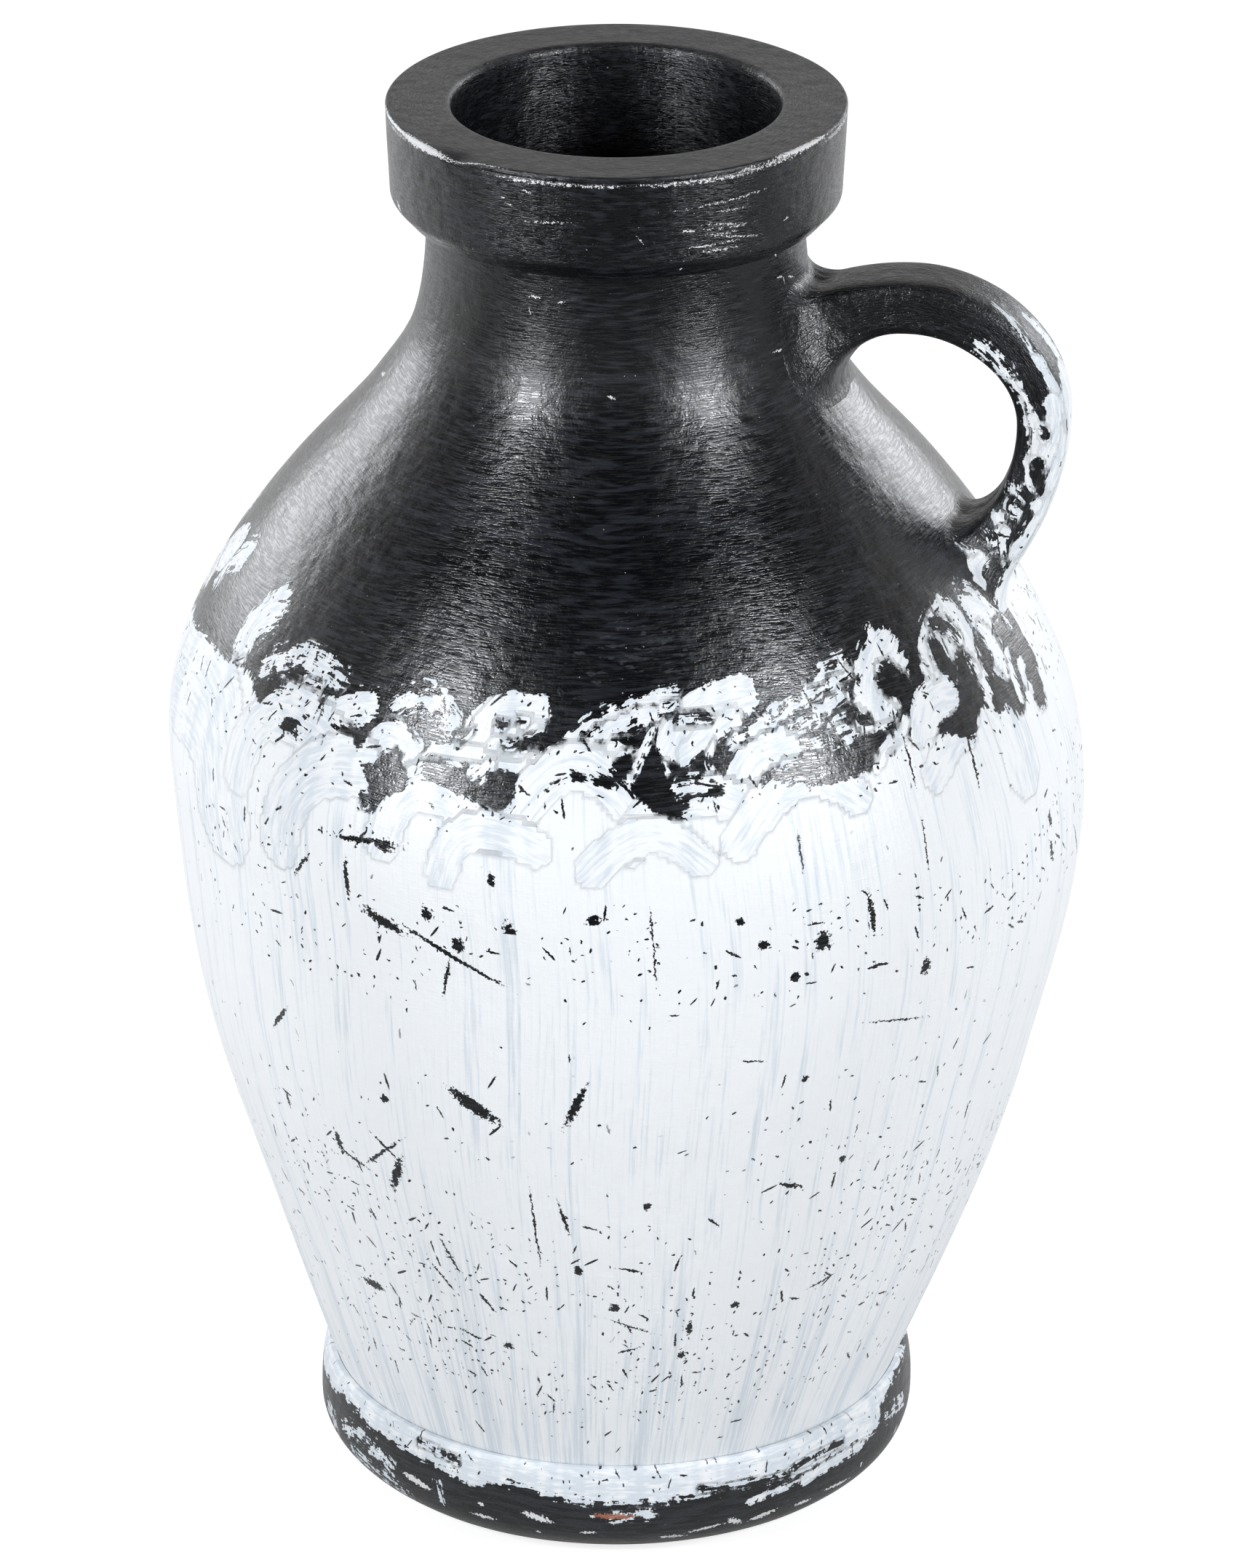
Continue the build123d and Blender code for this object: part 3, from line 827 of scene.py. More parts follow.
LOWER_MARKS = (
    (-52, 189, 9.6, 2.4, -31), (-17, 193, 7.7, 1.5, 68), (-111, 159, 4.7, 1.3, -84),
    (-105, 154, 6.3, 0.6, -19), (-86, 154, 7.6, 1.7, -115), (-89, 164, 6.4, 0.45, -40),
    (-91, 161, 10.4, 0.6, 39), (-58, 244, 17.5, 0.7, -26), (-81, 251, 8.1, 1.6, -19),
    (-60, 236, 6.7, 0.6, 77), (-132, 200, 6.5, 0.8, 49), (8, 247, 8.8, 0.3, 89),
    (-136, 167, 3.2, 0.75, -84), (-33, 141, 16, 0.35, -88), (-22, 147, 6.8, 0.6, -76),
    (-70, 124, 7.3, 0.4, -67), (-75, 113, 6.9, 0.4, -51), (-57, 106, 4.6, 0.7, -51),
    (-67, 90, 5.5, 0.5, -15), (2, 101, 8.5, 0.4, -19), (2, 90, 4.5, 0.4, 15),
    (1, 126, 4.2, 0.5, -10), (81, 253, 6.6, 0.8, -86), (83, 235, 3.3, 0.7, -2),
    (41, 208, 3.8, 0.4, -8), (93, 212, 11.3, 0.35, -12), (171, 245, 4.2, 1.0, -76),
    (61, 155, 4.4, 0.9, -17), (83, 109, 6.3, 0.4, 15), (-55, 248, 1.9, 2.6, 0),
    (63, 248, 2.7, 3.1, 0), (102, 229, 2, 2.5, 0), (43, 250, 1.8, 1.5, 0), (53, 237, 1.9, 1.5, 0),
    (-86, 184, 1.8, 1.6, 0), (-18, 125, 1.6, 1.9, 0), (-4, 109, 2.2, 1.7, 0),
    (-50, 88, 1.9, 1.4, 0), (-116, 98, 5.8, 1.8, 0), (8, 153, 1.5, 1.4, 0), (27, 99, 1.3, 2.7, 0),
    (60, 198, 1.4, 1.2, 0), (81, 161, 1.4, 1.5, 0), (45, 107, 1.9, 1.4, 0), (25, 87, 1.8, 1.4, 0),
    (201, 236, 9, 0.5, -55),
)
NECK_RUBBED = (
    (145, 440.6, 3.2, 0.55, -11), (152, 431.7, 3.7, 0.25, -7), (158, 430.2, 1.4, 0.3, -44),
    (171, 429.3, 5.3, 0.25, -8), (141, 409.2, 9.6, 0.2, -2), (-3, 403.8, 2.7, 0.25, -6),
    (-65, 433.6, 4.8, 0.25, 0), (-69, 428.8, 1.6, 0.25, -38), (-43, 433.0, 2.5, 0.25, 4),
    (-225, 388.1, 4.6, 0.4, 4),
)
NECK_RED = ((-86, 443.2, 7, 0.35, 0), (-16, 443.4, 14, 0.3, 0), (230, 443, 20, 0.3, 0))
COLLAR_RUBBED = (
    (-190, 479.6, 34, 0.6, 0), (-146, 479.3, 28, 1.5, 0), (-104, 480.2, 26, 0.3, 0),
    (139, 479.6, 26, 1.1, 0), (48, 460.8, 4.4, 0.22, 0), (57, 455.1, 9.0, 0.24, 0),
    (44, 447.6, 1.1, 0.34, -13), (-58, 473.5, 2.6, 0.3, -5), (-75, 470.2, 1.5, 0.25, -2),
    (124, 457.7, 2.5, 0.25, 7), (-190, 451.5, 4.0, 0.5, -15), (330, 479.4, 60, 0.8, 0),
    (-300, 479.5, 50, 0.6, 0),
)
# Broken pale lines under the lip and on the collar's side: worn paint in part, and in part a
# painted highlight along its edges and ridges.
COLLAR_DOTTED = (
    (-51, 477.1, 30, 0.6, 0), (-8, 477.0, 14, 0.4, 0), (53, 477.2, 36, 0.7, 0),
    (108, 478.2, 24, 0.8, 0), (71, 469.1, 30, 0.26, 2), (77, 465.9, 11.5, 0.2, -1),
    (75, 461.3, 17, 0.2, -4), (74, 460.2, 16, 0.2, -2), (72, 458.4, 11, 0.2, -1),
    (76, 455.3, 9, 0.2, -1), (83, 456.5, 17, 0.3, -5), (71, 453.1, 12, 0.35, 0),
    (-46, 463.9, 14.7, 0.24, 2), (-70, 468.2, 3.4, 0.25, -2), (16, 458.9, 4, 0.2, -32),
    (240, 478, 50, 0.7, 0), (-400, 478, 70, 0.7, 0),
)
FOOT_FLECKS = (
    (-110, 18.2, 8, 1.2, -6), (-69, 13.2, 6, 0.6, 0), (-40, 17, 7, 1.1, -9),
    (-14, 12.5, 4, 0.5, 3), (-40, 10.6, 1.2, 0.5, 0), (-70, 18.1, 1.8, 0.6, 5),
    (-12, 19.2, 1.4, 0.5, 0), (77, 12, 7, 0.9, 5), (61, 12.6, 4, 1, -14), (46, 11.5, 9, 0.5, 6),
    (29, 9.2, 7, 0.6, -2), (102, 11.6, 5, 0.6, 0), (126, 12.2, 9, 0.5, -3), (145, 15, 0.8, 0.8, 0),
    (185, 15, 2.5, 0.6, 20), (260, 12, 5, 0.8, 0),
)
FOOT_RED = (
    (-1, 19.4, 10, 1.0, 0), (-14, 2.2, 30, 0.8, 0), (20, 3.2, 16, 0.6, 0), (-260, 3, 40, 0.8, 0),
)
BACK_SHIFT = 700


def new_paint(name):
    material = bpy.data.materials.new(name)
    material.use_nodes = True
    return material, Tree(material.node_tree)


def place_in_mm(tree):
    return tree.scaled(tree.node("ShaderNodeTexCoord").outputs["Object"], IN_MM)


def surface_places(tree):
    """Object place in millimetres, and the unrolled place with its joint kept out of sight."""
    place = place_in_mm(tree)
    unrolled = tree.node("ShaderNodeUVMap", {"uv_map": "unrolled"}).outputs["UV"]
    turn, height, _ = tree.split(unrolled)
    front = (turn - 0.5) * GIRTH
    back = tree.math("FRACT", turn + 0.5) * GIRTH + BACK_SHIFT
    far = tree.math("GREATER_THAN", abs(turn - 0.5), 0.25)
    around = front + (back - front) * far
    return place, around, height * IN_MM


def dashes(tree, around, height, cell, length, width, seed, amount):
    """Short dashes at all angles: 1 in each, about one to a cell where amount is 1."""
    flat = tree.join(around + seed, height, 0.0)
    shaken = tree.noise(flat, 1.1, 2.0) - 0.5
    flat = tree.join(around + seed + shaken * 1.3, height + shaken * 1.1, 0.0)
    cells = tree.node(
        "ShaderNodeTexVoronoi", {"voronoi_dimensions": "2D"}, {"Vector": flat, "Scale": 1 / cell}
    )
    from_middle = tree.vector("SUBTRACT", flat, cells.outputs["Position"])
    chance, angle, size = tree.split(cells.outputs["Color"])
    turned = tree.node(
        "ShaderNodeVectorRotate",
        {"rotation_type": "Z_AXIS"},
        {"Vector": from_middle, "Angle": angle * math.pi},
    ).outputs[0]
    long, wide, _ = tree.split(turned)
    reach = (long / (size * length + 0.3)) ** 2 + (wide / (size * width + 0.15)) ** 2
    reach = tree.math("SQRT", reach)
    here = (amount - chance).ramp(0.0, 0.02)
    return (1 - reach).ramp(0.0, 0.25) * here


def listed_marks(tree, around, height, marks):
    """Chips, scratches and other marks listed one by one, as one number that is 1 inside them."""
    flat = tree.join(around, height, 0.0)
    shaken = tree.noise(flat, 2.6, 3.0, 0.75) - 0.5
    jagged = tree.noise(flat, 1.1, 1.0) - 0.5
    shifted = tree.join(
        around + shaken * 2.6 + jagged * 0.9, height + jagged * 1.7 - shaken * 1.6, 0.0
    )
    nearest = None
    for centre, up, half_length, half_width, tilt in marks:
        local = tree.node(
            "ShaderNodeMapping",
            {"vector_type": "TEXTURE"},
            {
                "Vector": shifted,
                "Location": (centre, up, 0),
                "Rotation": (0, 0, math.radians(tilt)),
                "Scale": (half_length, half_width, 1),
            },
        ).outputs[0]
        reach = tree.vector("LENGTH", local)
        nearest = reach if nearest is None else nearest.least(reach)
    eaten = tree.noise(flat, 1.4, 2.0, 0.7) - 0.5
    return (1.1 - nearest + eaten * 2.4).ramp(0.0, 0.2)


# %% The shared recipe
BLACK_DEEP = (0.002, 0.0025, 0.0035, 1)
BLACK_DRY = (0.014, 0.016, 0.021, 1)
WHITE_THICK = (0.86, 0.875, 0.885, 1)
WHITE_THIN = (0.60, 0.66, 0.72, 1)
BLACK_SCUFFED = (0.036, 0.039, 0.046, 1)
RED_CLAY = (0.36, 0.125, 0.065, 1)
RED_CLAY_PALE = (0.46, 0.18, 0.10, 1)
# Pale grey for worn marks, and also for painted glints and painted highlights on the black.
PALE_WEAR_AND_GLINT = (0.80, 0.80, 0.80, 1)
PAINT_IOR = 1.68


def black_coat(tree, place, streak_place, dull, scuffed):
    """Colour, roughness and height of the black coat."""
    cloud = tree.noise(place, 34, 1.0)
    lines = tree.noise(streak_place, 0.45, 2.0, 0.65)
    bands = tree.noise(tree.stretch(streak_place, 0.35, 0.35, 1.0), 4.5, 1.0)
    grain = tree.noise(place, 0.8, 1.0, 0.6)
    dents = tree.noise(place, 9, 2.0, 0.6)
    brushed = tree.noise(tree.stretch(streak_place, 1.0, 1.0, 0.6), 0.9, 1.0, 0.6)
    dry = (brushed * 0.75 + bands * 0.25 + cloud * 0.30 - 0.65).ramp(0.0, 0.12)
    colour = tree.colour(dry * 0.9, BLACK_DEEP, BLACK_DRY)
    if scuffed is not None:
        patches = tree.noise(tree.stretch(streak_place, 2.6, 2.6, 0.75), 1.0, 2.0, 0.6)
        scuffs = (patches + scuffed * 0.20 - 0.73).ramp(0.0, 0.05)
        colour = tree.colour(scuffs * 0.8, colour, BLACK_SCUFFED)
    # Tiny pale specks on the black coat: painted glints, small highlights of its gloss painted
    # into the colour.
    specks = tree.node("ShaderNodeTexVoronoi", None, {"Vector": place, "Scale": 1 / 2.7})
    glint_size, _, glint_chance = tree.split(specks.outputs["Color"])
    distance = Level(tree, specks.outputs["Distance"])
    glint_speck = (glint_size * 0.09 - distance).ramp(0.0, 0.03)
    glint_speck = glint_speck * (glint_chance - 0.4).ramp(0.0, 0.05)
    colour = tree.colour(glint_speck * 0.5, colour, PALE_WEAR_AND_GLINT)
    ridges = lines.ramp(0.42, 0.60)
    roughness = 0.17 + ridges * 0.12 + cloud * 0.08 + dull * 0.08
    relief = ridges * 0.02 + lines * 0.045 + brushed * 0.03 + grain * 0.08 + dents * 0.45
    return colour, roughness, relief


def clay_shader(tree, colour, roughness, relief, ior=1.5):
    """The shader of a clay face, from its colour, roughness and relief in millimetres."""
    shader = tree.node("ShaderNodeBsdfPrincipled", None, {"IOR": ior})
    bump = tree.node("ShaderNodeBump", None, {"Height": relief, "Distance": MM, "Strength": 1.0})
    tree.feed(shader.inputs["Base Color"], colour)
    tree.feed(shader.inputs["Roughness"], roughness)
    tree.feed(shader.inputs["Normal"], bump.outputs["Normal"])
    tree.node("ShaderNodeOutputMaterial", None, {"Surface": shader.outputs["BSDF"]})


def painted_clay(
    name, white_over=True, on_strap=False, on_rim=False, scuffed=False, bare=False,
    chips_at=(), rubbed_at=(), dotted_at=(), red_at=(),
):
    """One of the vase's paints, as a new material."""
    material, tree = new_paint(name)

    def kept(number):
        reader = tree.node("ShaderNodeAttribute", {"attribute_name": number})
        return Level(tree, reader.outputs["Fac"])

    place, around, height = surface_places(tree)
    if on_strap:
        lift, side, height = kept("lift"), kept("side"), kept("along")
        around = lift + side
        streak_place = tree.join(lift, side, height * 0.16)
        upright_place = tree.join(lift, side, height * 0.05)
        dull = 1.3
    else:
        sway = tree.noise(place, 42, 0.0) - 0.5
        x, y, z = tree.split(place)
        streak_place = tree.join(x * 0.075, y * 0.075, z + sway * 6)
        upright_place = tree.join(around, 0.0, height * 0.04)
        dull = z.ramp(394, 410)
        if on_rim:
            streak_place = tree.join(around * 0.05, 0.0, height + sway * 5)
            dull = 0.5 + z.ramp(RIM_HEIGHT - 1.2, RIM_HEIGHT - 0.3) * 1.5
    flat = tree.join(around, height, 0.0)
    colour, roughness, relief = black_coat(
        tree, place, streak_place, dull, kept("scuffed") if scuffed else None
    )
    if on_strap or on_rim:
        relief = relief * (1.6 if on_rim else 2.4)
    if white_over:
        dry, rubbed, brushed = kept("dry"), kept("rubbed"), kept("brushed")
        upright = tree.noise(upright_place, 1.3, 2.0, 0.6)
        wide_upright = tree.noise(upright_place, 7, 1.0)
        bristles = tree.join(kept("bristle"), kept("stroke") * 0.10, 0.0)
        hairs = tree.noise(bristles, 1.3, 2.0, 0.6)
        hairs = upright + (hairs - upright) * brushed
        lumps = tree.noise(flat, 4.5, 3.0, 0.7)
        level = kept("white") + (hairs - 0.5) * dry * 2.4 + (lumps - 0.5) * dry * 2.4
        coat = level.ramp(-0.12, 0.14)
        low = 1 - height.ramp(40, 130)
        thin = hairs * 0.85 + wide_upright * 0.55 + lumps * 0.08
        thin = (thin + low * 0.09 + brushed * 0.09 - 0.80).ramp(-0.06, 0.20)
        chips = dashes(tree, around, height, 6.5, 3.6, 0.38, 0.0, rubbed * 0.65 + 0.02)
        specks = dashes(tree, around, height, 3.0, 0.75, 0.35, 900.0, rubbed * 0.45 + 0.02)
        chips = chips.most(specks)
        if chips_at:
            chips = chips.most(listed_marks(tree, around, height, chips_at))
        relief = relief + (0.30 + hairs * 0.18 + lumps * 0.12) * coat
        coat = coat * (1 - chips)
        white_colour = tree.colour(thin * 0.75, WHITE_THICK, WHITE_THIN)
        colour = tree.colour(coat, colour, white_colour)
        roughness = roughness + (0.46 - roughness) * coat
    if rubbed_at:
        rubs = listed_marks(tree, around, height, rubbed_at)
        colour = tree.colour(rubs * 0.9, colour, PALE_WEAR_AND_GLINT)
    # Broken pale lines, part worn paint and part painted highlight.
    if dotted_at:
        broken = tree.noise(tree.join(around * 0.5, height * 1.4, 0.0), 1.3, 2.0, 0.7)
        dots = listed_marks(tree, around, height, dotted_at) * (broken - 0.47).ramp(0.0, 0.07)
        colour = tree.colour(dots * 0.9, colour, PALE_WEAR_AND_GLINT)
    if red_at:
        reds = listed_marks(tree, around, height, red_at)
        colour = tree.colour(reds * 0.9, colour, RED_CLAY)
    if bare:
        clay_grain = tree.noise(place, 1.2, 3.0, 0.6)
        ragged = (tree.noise(flat, 7.0, 3.0, 0.7) - 0.5) * 9
        unpainted = (kept("bare") + ragged).ramp(-0.3, 0.3)
        clay = tree.colour(clay_grain.ramp(0.3, 0.7), RED_CLAY, RED_CLAY_PALE)
        colour = tree.colour(unpainted, colour, clay)
        roughness = roughness + (0.82 - roughness) * unpainted
    clay_shader(tree, colour, roughness, relief, PAINT_IOR)
    print(name, len(tree.nodes), "nodes")
    return material


SHOULDER_PAINT = painted_clay("shoulder_paint", scuffed=True, bare=True, chips_at=UPPER_MARKS)
BODY_PAINT = painted_clay("body_paint", bare=True, chips_at=LOWER_MARKS)
FOOT_PAINT = painted_clay("foot_paint", bare=True, rubbed_at=FOOT_FLECKS, red_at=FOOT_RED)
NECK_PAINT = painted_clay(
    "neck_paint", white_over=False, bare=True, rubbed_at=NECK_RUBBED, red_at=NECK_RED
)
COLLAR_PAINT = painted_clay(
    "collar_paint", white_over=False, on_rim=True, rubbed_at=COLLAR_RUBBED, dotted_at=COLLAR_DOTTED
)
HANDLE_PAINT = painted_clay("handle_paint", on_strap=True)

# %% Turn the pieces
shoulder_lines = thrown_wall(BELLY_HEIGHT, NECK_SEAM_HEIGHT, FINE_SPACING)
pieces = {}
for name, lines, paint, steps in (
    ("wall_lower", thrown_wall(SLAB_TOP, BELLY_HEIGHT), BODY_PAINT, STEPS_ROUND),
    ("wall_shoulder", shoulder_lines, SHOULDER_PAINT, FINE_STEPS_ROUND),
    ("neck_tube", thrown_wall(NECK_SEAM_HEIGHT, COLLAR_SEAT), NECK_PAINT, STEPS_ROUND),
    ("foot_roll", foot_lines(), FOOT_PAINT, FINE_STEPS_ROUND),
    ("mouth_collar", collar_lines(), COLLAR_PAINT, STEPS_ROUND),
):
    pieces[name] = turned_piece(name, *lines, paint, steps)

for name, numbers_for in (
    ("wall_lower", body_paint_numbers),
    ("wall_shoulder", body_paint_numbers),
    ("neck_tube", neck_paint_numbers),
    ("foot_roll", foot_paint_numbers),
):
    keep_numbers(pieces[name].data, numbers_for(pieces[name].data))


# %% A dent in the lip, at the front left
def press_in_lip(mesh, centre, half_length, depth):
    """Lowers the outer edge of the rim round one place."""
    around, height, radius = way_round(mesh)
    near = (wrapped(around - centre) / half_length) ** 2
    near += ((radius - LIP_RADIUS) / 3.2) ** 2 + ((height - RIM_HEIGHT) / 2.2) ** 2
    for vertex, share in zip(mesh.vertices, np.exp(-near)):
        vertex.co.z -= depth * share * MM


press_in_lip(pieces["mouth_collar"].data, -113, 15, 1.7)

# %% [markdown]
# The handle was pulled as a strap and pressed on at both ends, and the potter worked
# clay from the body up round it. So its mesh runs as long lines from the body, along the
# strap and back to the body. Near each end every line leaves the strap, bends outwards
# and lies down on the wall. Its last points are sunk in the wall. A knot of the strap's
# middle line is its place out and up, and the direction that the line has there.

# %% The strap's middle line and its section
STRAP_WIDTH, STRAP_THICKNESS = 24.4, 17.5
HANDLE_KNOTS = (
    (57.0, 408.6, 1.0, 0.33), (97.0, 417.8, 1.0, 0.0), (139.5, 379.4, 0.0, -1.0),
    (113.4, 315.5, -0.575, -1.0),
)
HANDLE_SWELL = (1.02, 1.04, 1.04, 1.03, 0.98, 0.95, 0.96, 1.0, 1.04)
HANDLE_LINES = 96
SECTION_POWER = 5.2
STRAP_STEPS = 140
KNOT_STEPS = 40
WORKED_STEPS = 18
MIDDLE_SPACING = 1.5


def bend(start, first, end, last, t):
    """Point at a share t of a smooth curve, from its ends and the directions it has there."""
    return (
        start * (1 + 2 * t) * (1 - t) ** 2 + first * t * (1 - t) ** 2
        + end * t * t * (3 - 2 * t) - last * t * t * (1 - t)
    )


def handle_middle():
    """Points along the strap's middle line, about 1.5 mm apart, and its length."""
    points = []
    for (x0, z0, a0, b0), (x1, z1, a1, b1) in zip(HANDLE_KNOTS, HANDLE_KNOTS[1:]):
        start, end = Vector((x0, z0)), Vector((x1, z1))
        chord = math.dist((x0, z0), (x1, z1)) * 1.12
        first = Vector((a0, b0)).normalized() * chord
        last = Vector((a1, b1)).normalized() * chord
        points += [bend(start, first, end, last, step / KNOT_STEPS) for step in range(KNOT_STEPS)]
    points.append(Vector(HANDLE_KNOTS[-1][:2]))
    gaps = [(b - a).length for a, b in zip(points, points[1:])]
    lengths = np.concatenate([[0], np.cumsum(gaps)])
    wanted = np.linspace(0, lengths[-1], round(lengths[-1] / MIDDLE_SPACING) + 1)
    across = np.interp(wanted, lengths, [p.x for p in points])
    up = np.interp(wanted, lengths, [p.y for p in points])
    return [Vector((x, z)) for x, z in zip(across, up)], lengths[-1]


def strap_section():
    """Evenly spaced points round the strap's squarish section, outer face first."""
    angles = np.linspace(0, 2 * math.pi, 2001)
    lift, side = (
        np.sign(wave) * abs(wave) ** (2 / SECTION_POWER) * full / 2
        for wave, full in ((np.cos(angles), STRAP_THICKNESS), (np.sin(angles), STRAP_WIDTH))
    )
    lengths = np.concatenate([[0], np.cumsum(np.hypot(np.diff(lift), np.diff(side)))])
    wanted = np.linspace(0, lengths[-1], HANDLE_LINES + 1)[:-1]
    places = zip(np.interp(wanted, lengths, lift), np.interp(wanted, lengths, side))
    return list(places), lengths[-1]


SECTION, SECTION_GIRTH = strap_section()


def strap_point(middle, index, line):
    """Point of the strap's face on one of its lines, at a step along the middle."""
    before, after = middle[max(index - 1, 0)], middle[min(index + 1, len(middle) - 1)]
    along = (after - before).normalized()
    outer = Vector((-along.y, along.x))
    share = index / (len(middle) - 1) * (len(HANDLE_SWELL) - 1)
    swell = float(np.interp(share, range(len(HANDLE_SWELL)), HANDLE_SWELL))
    lift, side = SECTION[line]
    flat = middle[index] + outer * lift * swell
    return Vector((flat.x, side * swell, flat.y)) * MM


# %% Handle
body_points, body_faces = [], []
for name in ("wall_shoulder", "neck_tube"):
    mesh = pieces[name].data
    start = len(body_points)
    body_points += [vertex.co.copy() for vertex in mesh.vertices]
    body_faces += [[start + corner for corner in face.vertices] for face in mesh.polygons]
body_tree = BVHTree.FromPolygons(body_points, body_faces)


def outside_body(point):
    radius = math.hypot(point.x, point.y) / MM
    return radius - along_rows(WALL_ROWS, point.z / MM)[0]


def worked_end(middle, line, order, run, spread):
    """Points of one line from the strap down on to the wall, and where it left the strap."""
    crossing = next(i for i in order if outside_body(strap_point(middle, i, line)) > 0)
    step = order[1] - order[0]
    leave = crossing + step * round(run / MIDDLE_SPACING)
    start, inner = strap_point(middle, leave, line), strap_point(middle, leave - step, line)
    centres = (Vector((middle[i].x, 0, middle[i].y)) * MM for i in order)
    centre = next(place for place in centres if outside_body(place) > 0)
    foot = strap_point(middle, crossing, line)
    _, normal, _, _ = body_tree.find_nearest(foot)
    away = foot - centre
    away = (away - normal * away.dot(normal)).normalized()
    landing, normal, _, _ = body_tree.find_nearest(foot + away * spread * MM)
    away = landing - centre
    away = (away - normal * away.dot(normal)).normalized()
    reach = (start - landing).length * 1.15
    first, last = (inner - start).normalized() * reach, away * reach
    shares = [count / WORKED_STEPS for count in range(1, WORKED_STEPS + 1)]
    points = [bend(start, first, landing, last, share) for share in shares]
    for outwards, deep in ((1.0, 0.35), (1.6, 1.6), (0.5, 3.6)):
        points.append(landing + away * outwards * MM - normal * deep * MM)
    return points, leave


def end_along(start, points, begin, direction):
    """How far along the strap each point of a worked end counts, in millimetres."""
    alongs, last = [], start
    for point in points:
        begin += direction * (point - last).length / MM
        alongs.append(begin)
        last = point
    return alongs


def handle_piece(material):
    """The strap and the clay worked round its ends, as one closed mesh."""
    middle, length = handle_middle()
    count = len(middle)
    spacing = length / (count - 1)
    columns, places = [], []
    for line, (lift, side) in enumerate(SECTION):
        # Under the strap and at its sides the worked clay starts sooner and spreads wider.
        under, aside = 0.5 - lift / STRAP_THICKNESS, abs(side) / STRAP_WIDTH * 2
        low, start = worked_end(
            middle, line, range(count), 6 + 19 * under + 5 * aside, 5 + 13 * under + 7 * aside
        )
        high, end = worked_end(
            middle, line, range(count - 1, -1, -1),
            8 + 10 * under + 4 * aside, 3 + 7 * under + 6 * aside,
        )
        strap, alongs = [], []
        for row in range(STRAP_STEPS + 1):
            exact = start + (end - start) * row / STRAP_STEPS
            whole = min(int(exact), count - 2)
            here, beyond = (strap_point(middle, index, line) for index in (whole, whole + 1))
            strap.append(here.lerp(beyond, exact - whole))
            alongs.append(exact * spacing)
        low_alongs = end_along(strap[0], low, alongs[0], -1)
        high_alongs = end_along(strap[-1], high, alongs[-1], 1)
        columns.append(low[::-1] + strap + high)
        girth = (line / HANDLE_LINES + 0.5) % 1 - 0.5
        for along in low_alongs[::-1] + alongs + high_alongs:
            places.append((girth * SECTION_GIRTH, along, lift, side))
    rows = len(columns[0])
    points = [point for column in columns for point in column]
    faces = []
    for line in range(HANDLE_LINES):
        here, there = line * rows, (line + 1) % HANDLE_LINES * rows
        for row in range(rows - 1):
            faces.append((here + row, here + row + 1, there + row + 1, there + row))
    for row in (0, rows - 1):
        rim = [line * rows + row for line in range(HANDLE_LINES)]
        points.append(sum((points[corner] for corner in rim), Vector()) / len(rim))
        places.append(places[rim[0]])
        around_rim = rim if row == 0 else rim[::-1]
        for corner, other in zip(around_rim, around_rim[1:] + around_rim[:1]):
            faces.append((corner, other, len(points) - 1))
    mesh = bpy.data.meshes.new("handle_strap")
    mesh.from_pydata([tuple(point) for point in points], [], faces)
    if mesh_volume(mesh) < 0:
        mesh.flip_normals()
    mesh.shade_smooth()
    mesh.materials.append(material)
    piece = add_object("handle_strap", mesh)
    print("handle length", round(length, 1), "mm,", len(faces), "faces")
    return piece, np.array(places)


pieces["handle_strap"], strap_places = handle_piece(HANDLE_PAINT)

# %% Paint on the handle
HANDLE_DABS = (
    (WHITE, 20, 84, 20, 112, 18, 150, 17, 5), (WHITE, -7, 65, -10, 74, -12, 82, 2.5, 4),
    (WHITE, -12, 82, -12, 89, -11, 98, 3.5, 3), (WHITE, 3, 76, 4, 84, 7, 97, 5.4, 6),
    (WHITE, -13, 96, -14, 104, -17, 114, 7.8, 3), (WHITE, 2, 101, 0, 125, -2, 160, 25, 3),
    (WHITE, -11, 102, -11, 117, -13, 130, 7, 2), (WHITE, -12, 125, -12, 136, -13, 147, 6.2, 3),
    (WHITE, -22, 66, -23, 74, -24, 82, 3.8, 9), (WHITE, -24, 82, -23, 89, -22, 97, 2.1, 3),
    (WHITE, -22, 86, -24, 100, -22, 111, 1.7, 3), (WHITE, -21, 100, -20, 107, -21, 114, 5, 4),
    (WHITE, -23, 114, -21, 121, -17, 126, 2.1, 3), (BLACK, -19, 116, -18, 118, -18, 120, 3.8, 3),
    (BLACK, -17, 121, -16, 123, -16, 125, 2.8, 2), (BLACK, -19, 103, -17, 105, -18, 107, 1.8, 2),
    (BLACK, -9, 102, -9, 104, -8, 105, 1, 1), (WHITE, -25, 139, -24, 140, -22, 141, 3.8, 7),
    (WHITE, -22, 142, -20, 144, -17, 149, 4.8, 9), (WHITE, -25, 126, -24, 128, -22, 129, 2.5, 12),
    (WHITE, -23, 130, -23, 134, -21, 135, 2.1, 12), (WHITE, -21, 153, -21, 157, -19, 161, 3.8, 4),
    (WHITE, -21, 152, -19, 150, -16, 151, 1.5, 2), (WHITE, -16, 151, -13, 155, -13, 158, 1.2, 4),
    (WHITE, -25, 152, -24, 152, -23, 154, 2, 9),
)


def handle_paint_numbers():
    across, along, lift, side = strap_places.T
    numbers = brush_on(across, along, np.full(len(across), -FAR_INSIDE), HANDLE_DABS)
    numbers["dry"] *= 0.75
    numbers["rubbed"] = np.full(len(across), 0.12)
    numbers["lift"], numbers["side"], numbers["along"] = lift, side, along
    return numbers


keep_numbers(pieces["handle_strap"].data, handle_paint_numbers())

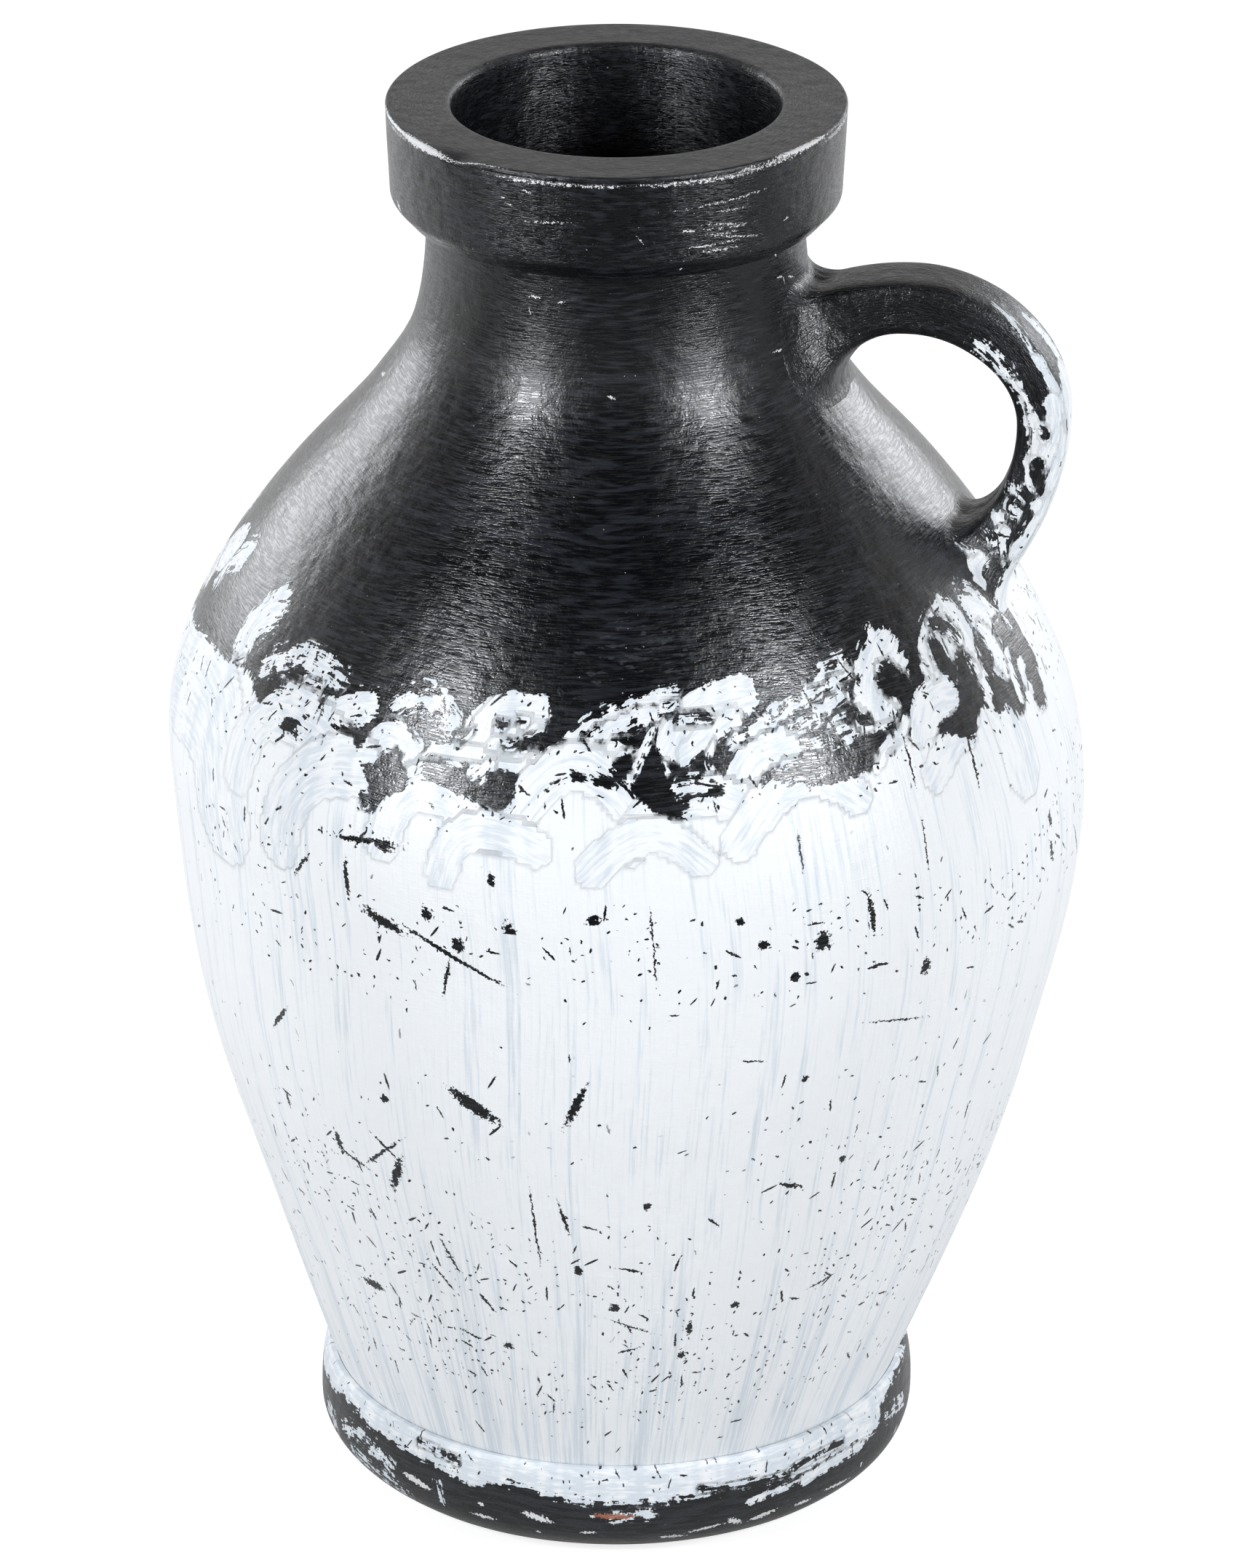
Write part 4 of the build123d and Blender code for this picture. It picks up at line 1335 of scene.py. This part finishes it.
# %% Bare clay on the pieces that stay as they are in the solid model
bare, clay_tree = new_paint("bare_fired_clay")
clay_place = place_in_mm(clay_tree)
clay_grain = clay_tree.noise(clay_place, 1.2, 4.0, 0.6)
clay_cloud = clay_tree.noise(clay_place, 26, 3.0)
patchy = (clay_grain + clay_cloud - 1).ramp(-0.35, 0.35)
clay_shader(
    clay_tree,
    clay_tree.colour(patchy, RED_CLAY, RED_CLAY_PALE),
    0.78 + clay_grain * 0.12,
    clay_grain * 0.2 + clay_cloud * 0.4,
)
for name in ("base_slab", "floor_coil", "belly_coil"):
    for material_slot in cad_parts[name].material_slots:
        material_slot.material = bare
    print(name, "now has", bare.name)

# %% Put every piece in its place in the frame
for name, nodes, slot in (
    ("wall_lower", ("lower_wall",), "body_paint"),
    ("wall_shoulder", ("shoulder_wall",), "body_paint"),
    ("neck_tube", ("neck",), "neck_paint"),
    ("foot_roll", ("foot_ring",), "foot_paint"),
    ("mouth_collar", ("rim_collar",), "collar_paint"),
    ("handle_strap", ("handle", "neck_lute", "shoulder_lute"), "handle_paint"),
):
    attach(pieces[name], "root")
    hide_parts(*nodes)

# %% [markdown]
# A pale floor and large soft lamps, as in a small product studio. Two tall lamps stand
# in front, one to each side, and two wide ones behind. They make the soft bands of light
# on the shoulder and the neck. A weak lamp hangs overhead. The room is white low down
# and dark overhead. Mirrored rays see a darker floor in front of the vase, so the upright
# collar stays black, and a paler one behind it. The camera sees white.

# %% Floor, room and lamps
floor_mesh = bpy.data.meshes.new("floor")
floor_mesh.from_pydata([(-9, -9, 0), (9, -9, 0), (9, 9, 0), (-9, 9, 0)], [], [(0, 1, 2, 3)])
floor = add_object("floor", floor_mesh)
floor_paint, floor_tree = new_paint("floor")
rays = floor_tree.node("ShaderNodeLightPath").outputs
seen = Level(floor_tree, rays["Is Camera Ray"])
mirrored = Level(floor_tree, rays["Is Glossy Ray"])
floor_place = floor_tree.node("ShaderNodeTexCoord").outputs["Object"]
nearer = floor_tree.vector("DOT_PRODUCT", floor_place, tuple(to_viewer))
farther = 1 - nearer.ramp(-0.5, 0.6)
pale = 0.80 - seen * 0.30 - mirrored * (0.73 - farther * 0.43)
pale_grey = floor_tree.join(pale, pale, pale)
cloth = floor_tree.node("ShaderNodeBsdfDiffuse", None, {"Color": pale_grey})
glow = seen * 0.8 + mirrored * farther * 0.55
glow = floor_tree.node("ShaderNodeEmission", None, {"Strength": glow})
both = floor_tree.node("ShaderNodeAddShader", None, {0: cloth.outputs[0], 1: glow.outputs[0]})
floor_tree.node("ShaderNodeOutputMaterial", None, {"Surface": both.outputs[0]})
floor_mesh.materials.append(floor_paint)

world = bpy.data.worlds.new("studio")
bpy.context.scene.world = world
world.use_nodes = True
room = Tree(world.node_tree)
direction = room.node("ShaderNodeTexCoord").outputs["Generated"]
rise = room.split(direction)[2]
behind = room.vector("DOT_PRODUCT", direction, tuple(-to_viewer))
brightness = 0.05 + behind.ramp(-0.2, 0.5) * 0.72 + (1 - rise.ramp(0.0, 0.30)) * 0.20
brightness = brightness * (1 - rise.ramp(0.42, 0.80) * 0.90)
by_camera = Level(room, room.node("ShaderNodeLightPath").outputs["Is Camera Ray"])
brightness = brightness.most(by_camera)
background = room.node(
    "ShaderNodeBackground", None, {"Color": (1, 1, 1, 1), "Strength": brightness}
)
room.node("ShaderNodeOutputWorld", None, {"Surface": background.outputs[0]})


LAMP_COLOUR = (0.94, 0.965, 1.0)
LAMP_TARGET = Vector((0, 0, 0.36))


def soft_lamp(name, aside, nearer, height, width, tall, power):
    """An area lamp that looks at the shoulder, placed as the camera sees it."""
    lamp = add_object(name, bpy.data.lights.new(name, "AREA"))
    lamp.data.shape = "RECTANGLE"
    lamp.data.size, lamp.data.size_y = width, tall
    lamp.data.energy = power
    lamp.data.color = LAMP_COLOUR
    place = to_right * aside + to_viewer * nearer
    lamp.location = (place.x, place.y, height)
    look = LAMP_TARGET - lamp.location
    lamp.rotation_euler = look.to_track_quat("-Z", "Y").to_euler()


soft_lamp("front_left", -1.03, 0.93, 0.90, 0.26, 0.46, 15.2)
soft_lamp("front_right", 1.03, 0.93, 0.90, 0.26, 0.46, 15.2)
soft_lamp("back_left", -1.20, -1.05, 0.66, 0.8, 0.7, 7.5)
soft_lamp("back_right", 1.10, -1.15, 0.66, 0.8, 0.7, 7.5)
soft_lamp("overhead", 0.0, -0.8, 2.2, 1.2, 1.0, 0.6)
